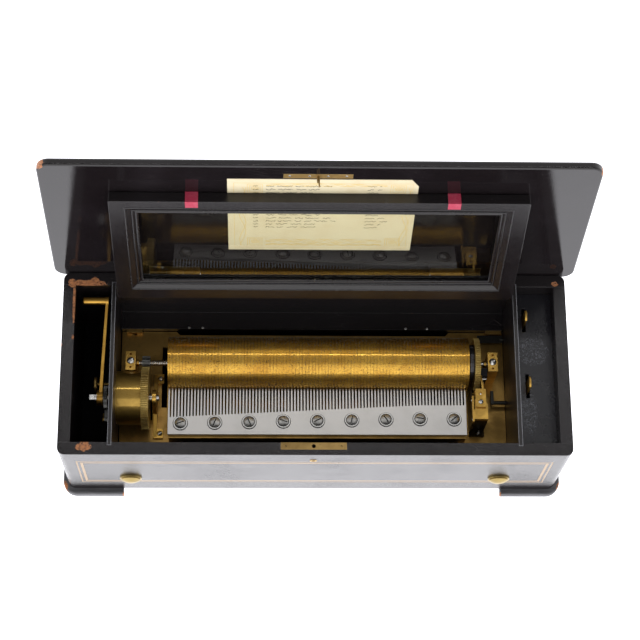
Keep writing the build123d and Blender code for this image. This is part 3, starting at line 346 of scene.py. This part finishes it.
def pinned_brass():
    """The cylinder's sleeve: golden, stained, scribed round at every tooth, and speckled all over with
    painted shadow of the pins.
    """
    s = Shading("cylinder brass")
    clouds = s.span(s.noise(30, 6, 0.7, distortion=0.6), 0.36, 0.66)
    colour = s.mix(s.math("MULTIPLY", clouds, 0.7), (0.84, 0.5, 0.09), (0.56, 0.27, 0.04))
    grain = s.span(s.noise(1100, 3, 0.7), 0.5, 0.62)
    colour = s.mix(s.math("MULTIPLY", grain, 0.5), colour, (0.2, 0.1, 0.022))
    turns = s.math("MULTIPLY", s.along("X"), 2 * math.pi / (COMB_PITCH * MM))
    ring = s.span(s.math("SINE", turns), 0.35, 0.95)
    ring = s.math("MULTIPLY", ring, s.span(s.noise(46, 4, 0.6), 0.35, 0.6))
    colour = s.mix(s.math("MULTIPLY", ring, 0.4), colour, (0.16, 0.085, 0.022))
    # Painted shadow: dark specks standing for the shadows of the pins.
    pin_shadow_specks = s.span(s.noise(760, 2, 0.5), 0.62, 0.68)
    colour = s.mix(s.math("MULTIPLY", pin_shadow_specks, 0.7), colour, (0.05, 0.03, 0.012))
    fine = s.math("SINE", s.math("MULTIPLY", turns, 7.0))
    _, rounded = s.edge(0.0003)
    rough = s.math("MULTIPLY_ADD", grain, 0.12, 0.42)
    height = s.math("ADD", s.math("MULTIPLY", fine, 0.4), s.noise(900, 3, 0.7))
    return s.two_lustres(0.3, 0.1, Base_Color=colour, Metallic=1.0, Roughness=rough,
                         Normal=s.bump(height, 0.00002, rounded))


def steel(name, tone=(0.66, 0.65, 0.63), dark=(0.33, 0.33, 0.33), roughness=0.25, brushed=(1, 12, 12),
          spots=0.25):
    """Ground steel with drawn lines and small age spots."""
    s = Shading(name)
    lines = s.noise(420, 4, 0.65, stretch=brushed)
    clouds = s.noise(40, 5, 0.6)
    colour = s.mix(s.span(clouds, 0.4, 0.75, 0.0, 0.45), tone, dark)
    rust = s.span(s.noise(480, 3, 0.6), 0.68, 0.76)
    colour = s.mix(s.math("MULTIPLY", rust, spots), colour, (0.12, 0.085, 0.06))
    _, rounded = s.edge(0.0003)
    rough = s.math("MULTIPLY_ADD", lines, 0.18, roughness)
    return s.surface(Base_Color=colour, Metallic=1.0, Roughness=rough,
                     Normal=s.bump(lines, 0.00003, rounded))


PANE_BOW = math.radians(1.0)
PANE_IOR = 1.85


def glass():
    """Clear old pane: what is behind shows through, with a Fresnel reflection."""
    s = Shading("old glass")
    flat = s.node("ShaderNodeNewGeometry").outputs["Normal"]
    bowed = s.node("ShaderNodeVectorRotate", {"Vector": flat, "Angle": PANE_BOW}, rotation_type="X_AXIS")
    wave = s.bump(s.noise(9, 2, 0.5), 0.0003, bowed.outputs[0])
    mirror = s.node("ShaderNodeBsdfGlossy", {"Color": (1, 1, 1), "Roughness": 0.02, "Normal": wave})
    clear = s.node("ShaderNodeBsdfTransparent", {"Color": (0.985, 0.99, 0.965)})
    inner = s.node("ShaderNodeNewGeometry").outputs["Backfacing"]
    share = s.node("ShaderNodeFresnel", {"IOR": PANE_IOR}).outputs[0]
    share = s.math("MULTIPLY", share, s.math("SUBTRACT", 1.0, inner))
    return s.finished(s.blended(share, clear.outputs[0], mirror.outputs[0]))


def paper():
    """Yellowed card with brown stains and fibres."""
    s = Shading("aged card")
    stain = s.span(s.noise(26, 6, 0.7), 0.4, 0.72)
    colour = s.mix(s.math("MULTIPLY", stain, 0.4), (0.74, 0.66, 0.46), (0.62, 0.48, 0.27))
    fibres = s.noise(900, 4, 0.7)
    colour = s.mix(s.math("MULTIPLY", fibres, 0.15), colour, (0.6, 0.47, 0.28))
    return s.surface(Base_Color=colour, Roughness=0.85, Normal=s.bump(fibres, 0.00004))


def ink(name, tone):
    """Dry ink, unevenly faded."""
    s = Shading(name)
    colour = s.mix(s.noise(700, 4, 0.7), tone, tuple(min(1.0, t * 2.2) for t in tone))
    return s.surface(Base_Color=colour, Roughness=0.8)


def boxwood():
    """The pale inlaid line, its grain darkened by old polish."""
    s = Shading("boxwood line")
    grain = s.noise(260, 4, 0.6, stretch=(1, 8, 8))
    colour = s.mix(grain, (0.3, 0.18, 0.08), (0.44, 0.3, 0.16))
    return s.surface(Base_Color=colour, Roughness=0.35, Normal=s.bump(grain, 0.00003))


def silk():
    """Crimson ribbon, finely woven and a little faded."""
    s = Shading("crimson ribbon")
    weave = s.node("ShaderNodeTexWave", {"Vector": s.place, "Scale": 900, "Distortion": 0.5})
    weave = weave.outputs["Fac"]
    worn = s.span(s.noise(160, 4, 0.7), 0.4, 0.7)
    colour = s.mix(weave, (0.38, 0.008, 0.045), (0.58, 0.02, 0.08))
    colour = s.mix(s.math("MULTIPLY", worn, 0.3), colour, (0.6, 0.14, 0.2))
    return s.surface(Base_Color=colour, Roughness=0.5, Sheen_Weight=0.3, Normal=s.bump(weave, 0.00006))


# ---- which CAD node takes which finish -----------------------------------------------------------
FINISHES = {}


def dress(finish, *nodes):
    for name in nodes:
        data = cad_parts[name].data
        data.materials.clear()
        data.materials.append(finish)


def make_finishes():
    FINISHES["brass"] = brass("bright brass", bright=(0.72, 0.44, 0.1), roughness=0.26)
    FINISHES["dark brass"] = brass("dark brass", bright=(0.34, 0.22, 0.07), dull=(0.14, 0.09, 0.03),
                                   roughness=0.36)
    FINISHES["steel"] = steel("screw steel", roughness=0.18)
    FINISHES["dark steel"] = steel("dark steel", tone=(0.1, 0.1, 0.11), dark=(0.05, 0.05, 0.055),
                                   roughness=0.35)
    FINISHES["blackened"] = steel("blackened steel", tone=(0.03, 0.03, 0.032), dark=(0.015, 0.015, 0.016),
                                  roughness=0.5, spots=0.0)
    FINISHES["moulding"] = ebonised("worn moulding", roughness=0.26, edge_wear=0.7, edge_line=0.7,
                                    line_tone=(0.17, 0.17, 0.18))
    FINISHES["spring"] = steel("spring bronze", tone=(0.52, 0.43, 0.3), dark=(0.3, 0.22, 0.14))
    FINISHES["ink"] = ink("brown ink", (0.03, 0.02, 0.014))
    FINISHES["ochre"] = ink("ochre print", (0.5, 0.33, 0.1))
    FINISHES["pins"] = steel("pin steel", tone=(0.2, 0.17, 0.12), dark=(0.06, 0.05, 0.035), roughness=0.4)


# Bare and rubbed patches: a place, its reach along x, y and z in millimetres, and how ragged it is.
CASE_WEAR = [
    (at(-226, 82.5, RIM), (18, 3.6, 3), 0.75),
    (at(-219, 84.5, RIM), (5, 4.6, 3), 0.8),
    (at(-241.5, 83, RIM), (4.2, 4.5, 3), 0.7),
    (at(-238.7, 64, RIM), (1.7, 23, 5), 0.5),
    (at(-224.5, -85.4, RIM), (7.5, 4.8, 3), 0.75),
    (at(-239.0, 26, RIM), (1.1, 2.6, 2), 0.3),
    (at(-250.0, 18, RIM), (0.9, 2.2, 2), 0.3),
    (at(240, 84.4, RIM), (3.6, 2.6, 1.4), 0.8),
]
FEET_WEAR = [
    (at(-254.5, -92, -11), (4.5, 7, 9), 0.7),
    (at(255, -92, -11), (3.5, 7, 8), 0.7),
    (at(-194, -99.5, -11), (1.2, 3, 8), 0.4),
    (at(194, -99.5, -11), (1.2, 3, 8), 0.4),
]
LID_WEAR = [
    (lid_at(-257, -98, RIM + 4), (5.5, 5.5, 6), 0.6),
    (lid_at(258.5, -93, RIM + 3), (1.6, 6, 6), 0.6),
]
PANEL_SCUFFS = [
    (at(218, 20, 101), (17, 16, 4), 0.4),
    (at(212, -45, 101), (9, 24, 4), 0.4),
]


def dress_woodwork():
    dress(ebonised("ebonised case", wear=CASE_WEAR),
          "front_board", "back_board", "left_board", "right_board")
    dress(pit_black(), "bottom_board")
    # The feet's grey lift is painted reflection of the bright floor.
    dress(ebonised("ebonised feet", sheen_lift=0.7, edge_wear=0.6, roughness=0.55, edge_line=0.8, dust=0.8,
                   line_tone=(0.14, 0.14, 0.15), wear=FEET_WEAR), "bracket_feet")
    dress(ebonised("ebonised partitions", dust=0.5, roughness=0.32, edge_line=0.9, edge_wear=0.72,
                   line_tone=(0.5, 0.51, 0.56), edge_radius=0.0012), "left_partition", "right_partition")
    dress(ebonised("control panel", tint=(0.01, 0.01, 0.017), dust=0.6, roughness=0.24, edge_wear=0.8,
                   scuffs=PANEL_SCUFFS), "control_panel")
    dress(ebonised("ebonised lid", roughness=0.04, cloudy=0.03, relief=0.00001, edge_line=0.2,
                   wear=LID_WEAR), "lid_panel")
    dress(ebonised("ebonised glazed lid", roughness=0.15, edge_line=0.35), "glass_frame", "glass_beads")
    dress(boxwood(), "front_stringing")


def dress_brass():
    dress(brass("case brass", bright=(0.5, 0.33, 0.12), dull=(0.2, 0.13, 0.05), stain=0.6),
          "lock_plate", "keyhole_ring", "strike_plate", "lid_hinge_case_leaves",
          "lid_hinge_lid_leaves", "glass_hinge_wall_leaves", "glass_hinge_frame_leaves")
    dress(brass("bolt brass", bright=(0.36, 0.27, 0.1), dull=(0.2, 0.14, 0.05), roughness=0.2),
          "movement_bolts", "bolt_cups")
    dress(brass("bed brass", bright=(0.48, 0.29, 0.085), dull=(0.24, 0.15, 0.045), stain=0.7),
          "bedplate", "comb_base")
    # The governor frame is darkened low down as painted shade.
    dress(brass("governor brass", bright=(0.72, 0.44, 0.1), roughness=0.26, painted_shade_below=72),
          "governor_frame")
    dress(FINISHES["brass"], "arbor_bearings", "barrel_bridge_right", "governor_cock", "governor_fan",
          "governor_first_wheel", "governor_second_wheel", "cylinder_caps")
    dress(brass("wheel brass", bright=(0.52, 0.38, 0.12), dull=(0.3, 0.2, 0.06), roughness=0.32),
          "cylinder_great_wheel", "barrel_great_wheel")
    dress(brass("barrel brass", bright=(0.62, 0.4, 0.1), dull=(0.28, 0.17, 0.045), roughness=0.36,
                lustre=0.35), "barrel_drum")
    dress(brass("lever brass", bright=(0.62, 0.36, 0.07), dull=(0.34, 0.16, 0.03), roughness=0.25),
          "winding_lever", "winding_handle")
    dress(brass("dark bridge brass", bright=(0.3, 0.2, 0.06), dull=(0.12, 0.08, 0.03)),
          "barrel_bridge_left")
    dress(brass("control lever", bright=(0.75, 0.46, 0.1), grey_before=198.0),
          "start_stop_lever", "change_lever")
    dress(pinned_brass(), "cylinder_sleeve")


def dress_steel():
    dress(steel("comb steel", tone=(0.73, 0.71, 0.69), dark=(0.58, 0.565, 0.54), brushed=(12, 1, 12),
                roughness=0.36, spots=0.15), "comb")
    dress(steel("washer steel", dark=(0.5, 0.49, 0.48), roughness=0.3), "comb_washers")
    dress(steel("comb screw steel", tone=(0.56, 0.55, 0.53), dark=(0.38, 0.38, 0.37), roughness=0.38),
          "comb_screws")
    dress(FINISHES["steel"], "movement_screws", "cylinder_arbor", "winding_arbor",
          "governor_worm", "hinge_pins", "lock_bolt")
    dress(steel("wheel steel", tone=(0.2, 0.2, 0.19), dark=(0.1, 0.1, 0.1), roughness=0.3),
          "cylinder_pinion", "ratchet_wheel", "ratchet_click")
    dress(FINISHES["spring"], "change_spring")
    dress(FINISHES["dark steel"], "lock_case", "mainspring", "tune_snail")


def dress_the_rest():
    dress(paper(), "tune_sheet")
    dress(silk(), "ribbon_pulls")
    dress(glass(), "glass_pane")


# ---- building small pieces -----------------------------------------------------------------------
class Builder:
    """Collects faces and their finishes, in metres, and makes one piece of them."""

    def __init__(self):
        self.verts, self.faces, self.kinds = [], [], []

    def add(self, verts, faces, kind=0):
        base = len(self.verts)
        self.verts += [tuple(v) for v in verts]
        self.faces += [tuple(base + i for i in face) for face in faces]
        self.kinds += [kind] * len(faces)

    def lathe(self, centre, axis, profile, steps, kind=0):
        """A turned form: profile is (distance along the axis, radius) in millimetres."""
        axis = Vector(axis).normalized()
        one = axis.orthogonal().normalized()
        two = axis.cross(one)
        verts = []
        for along, radius in profile:
            for n in range(steps):
                a = 2 * math.pi * n / steps
                spoke = math.cos(a) * one + math.sin(a) * two
                verts.append(centre + MM * (along * axis + radius * spoke))
        faces = []
        for ring in range(len(profile) - 1):
            for n in range(steps):
                a, b = ring * steps + n, ring * steps + (n + 1) % steps
                faces.append((a, b, b + steps, a + steps))
        last = (len(profile) - 1) * steps
        faces += [tuple(reversed(range(steps))), tuple(range(last, last + steps))]
        self.add(verts, faces, kind)

    def block(self, centre, x, y, z, chamfer=0.0, kind=0):
        """A block on three edge vectors, its far z end drawn in by the chamfer."""
        verts = []
        for level, draw in ((-0.5, 1.0), (0.5 - chamfer, 1.0), (0.5, 1.0 - 2 * chamfer)):
            for sx, sy in CORNERS:
                flat = sx * draw / 2 * Vector(x) + sy * draw / 2 * Vector(y)
                verts.append(centre + MM * (flat + level * Vector(z)))
        faces = [(3, 2, 1, 0), (8, 9, 10, 11)]
        for low in (0, 4):
            faces += [(low + n, low + (n + 1) % 4, low + 4 + (n + 1) % 4, low + 4 + n) for n in range(4)]
        self.add(verts, faces, kind)

    def screw(self, centre, out, radius, turn):
        """A small domed screw head of the first finish, with a bar of the second across it for the slot;
        its dark finish is painted shade in the slot.
        """
        out = Vector(out).normalized()
        h = 0.45 * radius
        dome = [(0, radius), (0.5 * h, radius), (0.85 * h, 0.8 * radius), (h, 0.5 * radius)]
        self.lathe(centre, out, dome, 16)
        one = out.orthogonal().normalized()
        two = out.cross(one)
        along = math.cos(turn) * one + math.sin(turn) * two
        across = out.cross(along)
        self.block(centre + MM * 0.86 * h * out, 1.7 * radius * along, 0.3 * radius * across,
                   0.34 * h * out, kind=1)

    def ribbon(self, points, width, normal, kind):
        """A flat stroke through points, lying square to normal."""
        normal = Vector(normal).normalized()
        verts = []
        for n, point in enumerate(points):
            before, after = points[max(n - 1, 0)], points[min(n + 1, len(points) - 1)]
            side = normal.cross((after - before).normalized()) * width * MM / 2
            verts += [point - side, point + side]
        faces = [(2 * n, 2 * n + 1, 2 * n + 3, 2 * n + 2) for n in range(len(points) - 1)]
        self.add(verts, faces, kind)

    def piece(self, name, body, slot, *finishes, smooth=35):
        data = bpy.data.meshes.new(name)
        data.from_pydata(self.verts, [], self.faces)
        for finish in finishes:
            data.materials.append(FINISHES[finish])
        data.polygons.foreach_set("material_index", self.kinds)
        data.update()
        made = bpy.data.objects.new(name, data)
        bpy.context.scene.collection.objects.link(made)
        if smooth:
            data.shade_smooth()
            data.set_sharp_from_angle(angle=math.radians(smooth))
        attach(made, body)
        return made


# ---- pieces ----------------------------------------------------------------------------------------
def make_pins():
    """The cylinder's pins: every tooth has a track of them for each air."""
    rnd = random.Random(7)
    b = Builder()
    y, z = AXIS
    airs, track_step, beats = 6, 0.36, 144
    half, root, tip = 0.25, CYLINDER_RADIUS - 0.1, CYLINDER_RADIUS + 0.65
    for tooth in range(TEETH):
        for air in range(airs):
            x = tooth_x(tooth) + (air - (airs - 1) / 2) * track_step
            if not SLEEVE_LEFT < x < SLEEVE_RIGHT:
                continue
            for _ in range(rnd.randint(7, 20)):
                a = 2 * math.pi * (rnd.randint(0, beats - 1) + rnd.choice((0, 0, 0.5))) / beats
                u, v = math.cos(a), math.sin(a)
                verts = []
                for r, w in ((root, half), (tip, 0.7 * half)):
                    for sx, st in ((-w, -w), (w, -w), (w, w), (-w, w)):
                        verts.append(at(x + sx, y + r * u - st * v, z + r * v + st * u))
                b.add(verts, [(4, 5, 6, 7), (0, 1, 5, 4), (1, 2, 6, 5), (2, 3, 7, 6), (3, 0, 4, 7)])
    b.piece("cylinder_pins", "cylinder", "polished_steel", "pins", smooth=0)


def make_comb_marks():
    """Painted shade: dark bars in the screw slots and dark rings round the screws and washers of the
    comb.
    """
    b = Builder()
    screws = 9
    left, right = COMB_LEFT + 12.6, COMB_RIGHT - 14.0
    row_shift, row_drift = 2.2, 0.175
    washer_top, head_top = COMB_TOP + 1.4, COMB_TOP + 2.7
    first_turn, turn_step = 20, 47
    for n in range(screws):
        x = left + (right - left) * n / (screws - 1)
        root = ROOT_BASS + ROOT_RISE * min(1.0, (x - COMB_LEFT) / (ROOT_RISE_END - COMB_LEFT))
        y = (COMB_FRONT + root) / 2 + row_shift - row_drift * n
        turn = math.radians(first_turn + turn_step * n)
        along = Vector((math.cos(turn), math.sin(turn), 0))
        across = Vector((-math.sin(turn), math.cos(turn), 0))
        b.block(at(x, y, head_top), 7.6 * along, 1.12 * across, Vector((0, 0, 0.3)))
        b.lathe(at(x, y, COMB_TOP), (0, 0, 1), [(0.0, 7.6), (0.06, 7.5)], 32)
        b.lathe(at(x, y, washer_top), (0, 0, 1), [(0.0, 5.8), (0.05, 5.7)], 32)
    b.piece("comb_painted_shade", "case", "dark_steel", "blackened", smooth=0)


def make_tooth_weights():
    """The lead weights under the teeth, deep under the bass and shallow under the treble, in black, which
    also stands as painted shade under the comb.
    """
    b = Builder()
    back, underside = -13.5, COMB_TOP - 2.43
    width = TOOTH_SHARE * COMB_PITCH - 0.12
    for tooth in range(TEETH):
        share = tooth / (TEETH - 1)
        depth = 15.0 - 5.0 * share
        front = -37.0 + 13.0 * share
        middle = at(tooth_x(tooth), (front + back) / 2, underside - depth / 2)
        b.block(middle, (width, 0, 0), (0, back - front, 0), (0, 0, -depth), chamfer=0.04)
    b.piece("tooth_weights_and_shade", "case", "dark_steel", "blackened", smooth=0)


def mitred(half_x, half_y, z0, profile):
    """Corner points of a moulding mitred round the opening of the glazed lid."""
    middle_y = -2.5
    rings = []
    for sx, sy in CORNERS:
        rings.append([glass_at(sx * (half_x + out), middle_y + sy * (half_y + out), z0 + up)
                      for out, up in profile])
    return rings


def make_moulding():
    """Three rounded beads, stepped up from the glass, on the glazed lid's inner face."""
    b = Builder()
    sides = 10
    beads = ((171.0, 55.5, 113.0, 1.5), (174.6, 59.1, 111.3, 0.8), (181.0, 65.5, 108.9, 0.55))
    for half_x, half_y, z0, radius in beads:
        turns = [2 * math.pi * n / sides for n in range(sides)]
        rings = mitred(half_x, half_y, z0, [(radius * math.cos(a), radius * math.sin(a)) for a in turns])
        verts = [v for ring in rings for v in ring]
        faces = []
        for corner in range(4):
            a, c = corner * sides, (corner + 1) % 4 * sides
            for n in range(sides):
                m = (n + 1) % sides
                faces.append((a + n, a + m, c + m, c + n))
        b.add(verts, faces)
    b.piece("glass_moulding", "glass_lid", "ebonised_wood", "moulding", smooth=50)


def sheet_at(x, y):
    """A place on the face of the tune sheet."""
    return lid_at(x, y, RIM - 0.17)


def out_of_lid():
    """The way out of the outer lid's inner face."""
    return lid_at(0, 0, RIM - 1) - lid_at(0, 0, RIM)


class TunePrint:
    """Strokes of ink and ochre on the tune sheet, all made up."""

    INK, OCHRE = 0, 1

    def __init__(self):
        self.rnd = random.Random(3)
        self.builder = Builder()
        self.out = out_of_lid()

    def stroke(self, points, width, kind=OCHRE):
        self.builder.ribbon([sheet_at(x, y) for x, y in points], width, self.out, kind)

    def squiggles(self, x0, x1, y):
        """A line of handwriting that says nothing."""
        x = x0
        while x < x1:
            end = min(x1, x + self.rnd.uniform(6, 15))
            points = []
            while x < end:
                points.append((x, y + self.rnd.uniform(-1.3, 1.3)))
                x += self.rnd.uniform(0.6, 1.1)
            if len(points) > 2:
                self.stroke(points, 0.6, self.INK)
            x += self.rnd.uniform(1.6, 3.0)

    def scroll(self, x0, x1, y, height, waves):
        """Three waves wound round each other."""
        count = int(abs(x1 - x0) / 1.2)
        for shift in (0.0, 1.3, 2.6):
            points = []
            for n in range(count + 1):
                share = n / count
                swell = math.sin(math.pi * share) * 0.4 + 0.6
                a = 2 * math.pi * waves * share + shift
                up = height * swell * math.sin(a) + self.rnd.uniform(-0.2, 0.2)
                points.append((x0 + (x1 - x0) * share, y + up))
            self.stroke(points, 0.45)

    def box(self, left, right, low, high, width):
        self.stroke([(left, low), (right, low), (right, high), (left, high), (left, low)], width)

    def rosette(self, x, y, size):
        """A spiral in a double square."""
        for half in (size, 0.72 * size):
            self.box(x - half, x + half, y - half, y + half, 0.5)
        steps = 40
        points = []
        for n in range(steps):
            a, r = 0.5 * n, size * 0.6 * n / steps
            points.append((x + r * math.cos(a), y + r * math.sin(a)))
        self.stroke(points, 0.45)

    def braid(self, x, y):
        """Two waves up a side of the sheet."""
        for shift in (0.0, 1.6):
            self.stroke([(x + 3.0 * math.sin(0.24 * n + shift), y + 2.4 * n) for n in range(45)], 0.4)


def make_tune_print():
    """Squiggles in three columns, and a scrolled ochre border, on the tune sheet."""
    sheet = TunePrint()
    airs, first, spacing = 14, -68.0, 5.6
    for n in range(airs):
        y = first + spacing * n
        sheet.squiggles(-62, -57, y)
        sheet.squiggles(-50, sheet.rnd.uniform(-8, 22), y)
        sheet.squiggles(44, sheet.rnd.uniform(56, 66), y)
    for x in (-60.5, 72.5):
        for y in (32, -64):
            sheet.rosette(x, y, 7.0)
    for y, height, waves in ((30, 3.4, 5), (37, 2.0, 9), (-70, 2.4, 6)):
        sheet.scroll(-50, 62, y, height, waves)
    for x in (-72, 82):
        sheet.braid(x, -66)
    sheet.box(left=-80, right=86, low=-73, high=43, width=0.4)
    sheet.builder.piece("tune_print", "lid", "paper", "ink", "ochre", smooth=0)


def make_screws():
    """Small screws in the plates on the rim and the lid, the rail and the governor's cock."""
    rnd = random.Random(11)
    rim, lid, wall = Builder(), Builder(), Builder()
    up = (0, 0, 1)
    plate_y = -84.5
    for x in (-27, 27):
        rim.screw(at(LOCK_X + x, plate_y, RIM - 0.58), up, 1.5, rnd.uniform(0, 3))
    rim.piece("lock_plate_screws", "case", "case_brass", "dark brass", "blackened")
    for x in (-26, -8, 9, 26):
        lid.screw(lid_at(LOCK_X + x, plate_y, RIM + 0.91), out_of_lid(), 1.6, rnd.uniform(0, 3))
    lid.piece("strike_plate_screws", "lid", "case_brass", "steel", "blackened")
    for x in (-128, -114, 96, 118):
        wall.screw(at(x, 63.8, 44), up, 1.3, rnd.uniform(0, 3))
    for x, y, turn in ((158.9, -22.3, 0.4), (159.1, -42.2, 1.4)):
        wall.screw(at(x, y, 72.4), up, 1.2, turn)
    wall.piece("rail_screws", "case", "polished_steel", "steel", "blackened")


def make_arbor_fittings():
    """The collars and the ball on the cylinder's arbor."""
    b = Builder()
    y, z = AXIS
    right = (1, 0, 0)
    ball, neck = 2.5, 0.3
    b.lathe(at(-179.6, y, z), right, [(0, 2.9), (0.3, 3.3), (2.6, 3.3), (2.9, 2.9)], 24)
    angles = [math.pi * n / 10 for n in range(6)]
    half_ball = [(ball * (1 - math.cos(a)), max(neck, ball * math.sin(a))) for a in angles]
    b.lathe(at(-176.5, y, z + 0.2), right, half_ball + [(2.9, ball)], 24, 1)
    b.lathe(at(172.2, y, z), right, [(0, 2.7), (0.3, 3.2), (2.9, 3.2), (3.2, 2.7)], 24)
    b.piece("arbor_collars", "arbor", "movement_brass", "brass", "steel")


def make_change_spring():
    """The coil on the arbor, built at one length; in the box it closes up as the cylinder shifts towards
    it.
    """
    b = Builder()
    left, right, pitch = -165.0, -147.6, 1.8
    coil, wire, closing = 2.75, 0.55, 2.1
    per_turn, sides = 22, 8
    steps = round((right - left) / pitch * per_turn)
    axial = Vector((1, 0, 0))
    verts = []
    for n in range(steps + 1):
        a = 2 * math.pi * n / per_turn
        radial = Vector((0, math.cos(a), math.sin(a)))
        middle = at(left + (right - left) * n / steps, *AXIS) + MM * coil * radial
        for side in range(sides):
            t = 2 * math.pi * side / sides
            verts.append(middle + MM * wire * (math.cos(t) * radial + math.sin(t) * axial))
    faces = []
    for n in range(steps):
        for side in range(sides):
            a, c = n * sides + side, n * sides + (side + 1) % sides
            faces.append((a, c, c + sides, a + sides))
    last = steps * sides
    faces += [tuple(reversed(range(sides))), tuple(range(last, last + sides))]
    b.add(verts, faces)
    spring = b.piece("change_coil", "arbor", "polished_steel", "spring", smooth=60)
    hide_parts("change_spring")
    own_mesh(spring)


def make_stop_work():
    """The stop arm beside the great wheel and the slender brass finger down to the governor."""
    b = Builder()
    b.block(at(171.4, 6.6, 63), (7.2, 0, 0), (0, 9.2, 0), (0, 0, 26), chamfer=0.04)
    b.lathe(at(167.6, 1.0, 70), (1, 0, 0), [(0, 1.0), (0.3, 1.3), (6.6, 1.3), (6.9, 1.0)], 16, 1)
    finger = [at(168.0, 2.5, 77), at(168.2, -3, 79.0), at(168.6, -8, 79.6), at(169.0, -12.8, 80.1)]
    b.ribbon(finger, 1.9, (0.0, 0.2, 1), 2)
    b.piece("stop_work", "case", "dark_steel", "blackened", "steel", "brass")


def make_winding_disc():
    """The turned brass stop behind the winding lever, on its own stud."""
    b = Builder()
    disc, y, z, thick = -221.8, -2.8, 60, 3.0
    right = (1, 0, 0)
    b.lathe(at(disc, y, z), right, [(0, 6.8), (0.6, 7.6), (2.4, 7.6), (thick, 6.8)], 32)
    b.lathe(at(disc + thick, y, z), right, [(0, 1.5), (16.0, 1.5)], 12)
    b.piece("winding_stop", "case", "movement_brass", "dark brass")


def make_pieces():
    make_pins()
    make_comb_marks()
    make_tooth_weights()
    make_moulding()
    make_tune_print()
    make_screws()
    make_arbor_fittings()
    make_change_spring()
    make_stop_work()
    make_winding_disc()


# ---- studio ----------------------------------------------------------------------------------------
FLOOR_GLOW, FLOOR_TINT, FLOOR_REACH = 2.15, (0.96, 0.96, 1.0), 6.0
HORIZON, ZENITH = 0.05, 0.97
ROOM_LOW, ROOM_HIGH = 1.9, 0.22


def make_floor():
    s = Shading("white floor")
    glow = s.node("ShaderNodeEmission", {"Color": FLOOR_TINT, "Strength": FLOOR_GLOW})
    data = bpy.data.meshes.new("floor")
    corners = [(sx * FLOOR_REACH, sy * FLOOR_REACH, 0) for sx, sy in CORNERS]
    data.from_pydata(corners, [], [(0, 1, 2, 3)])
    data.materials.append(s.finished(glow.outputs[0]))
    floor = bpy.data.objects.new("floor", data)
    bpy.context.scene.collection.objects.link(floor)


def make_room():
    """A white room: bright at the horizon, dimmer overhead."""
    world = bpy.data.worlds.new("room")
    bpy.context.scene.world = world
    world.use_nodes = True
    tree = world.node_tree
    background = tree.nodes["Background"]
    where = tree.nodes.new("ShaderNodeTexCoord")
    split = tree.nodes.new("ShaderNodeSeparateXYZ")
    ramp = tree.nodes.new("ShaderNodeMapRange")
    tree.links.new(where.outputs["Generated"], split.inputs[0])
    tree.links.new(split.outputs["Z"], ramp.inputs["Value"])
    ends = {"From Min": HORIZON, "From Max": ZENITH, "To Min": ROOM_LOW, "To Max": ROOM_HIGH}
    for key, value in ends.items():
        ramp.inputs[key].default_value = value
    tree.links.new(ramp.outputs["Result"], background.inputs["Strength"])
    background.inputs["Color"].default_value = (1, 1, 1, 1)


def softbox(name, place, aim, size, power):
    """A rectangular light of a size in metres and a power in watts, turned towards a place."""
    data = bpy.data.lights.new(name, "AREA")
    data.shape = "RECTANGLE"
    data.size, data.size_y = size
    data.energy = power
    lamp = bpy.data.objects.new(name, data)
    lamp.location = place
    lamp.rotation_euler = (Vector(aim) - Vector(place)).to_track_quat("-Z", "Y").to_euler()
    bpy.context.scene.collection.objects.link(lamp)


def make_lights():
    middle = at(0, 0, 60)
    softbox("overhead strip", at(60, 960, 2300), middle, (1.8, 0.1), 5)
    softbox("front window", at(-100, -1500, 1500), middle, (2.6, 2.0), 12)


make_camera()
make_finishes()
dress_woodwork()
dress_brass()
dress_steel()
dress_the_rest()
make_pieces()
make_floor()
make_room()
make_lights()
bpy.context.scene.view_settings.view_transform = "Standard"
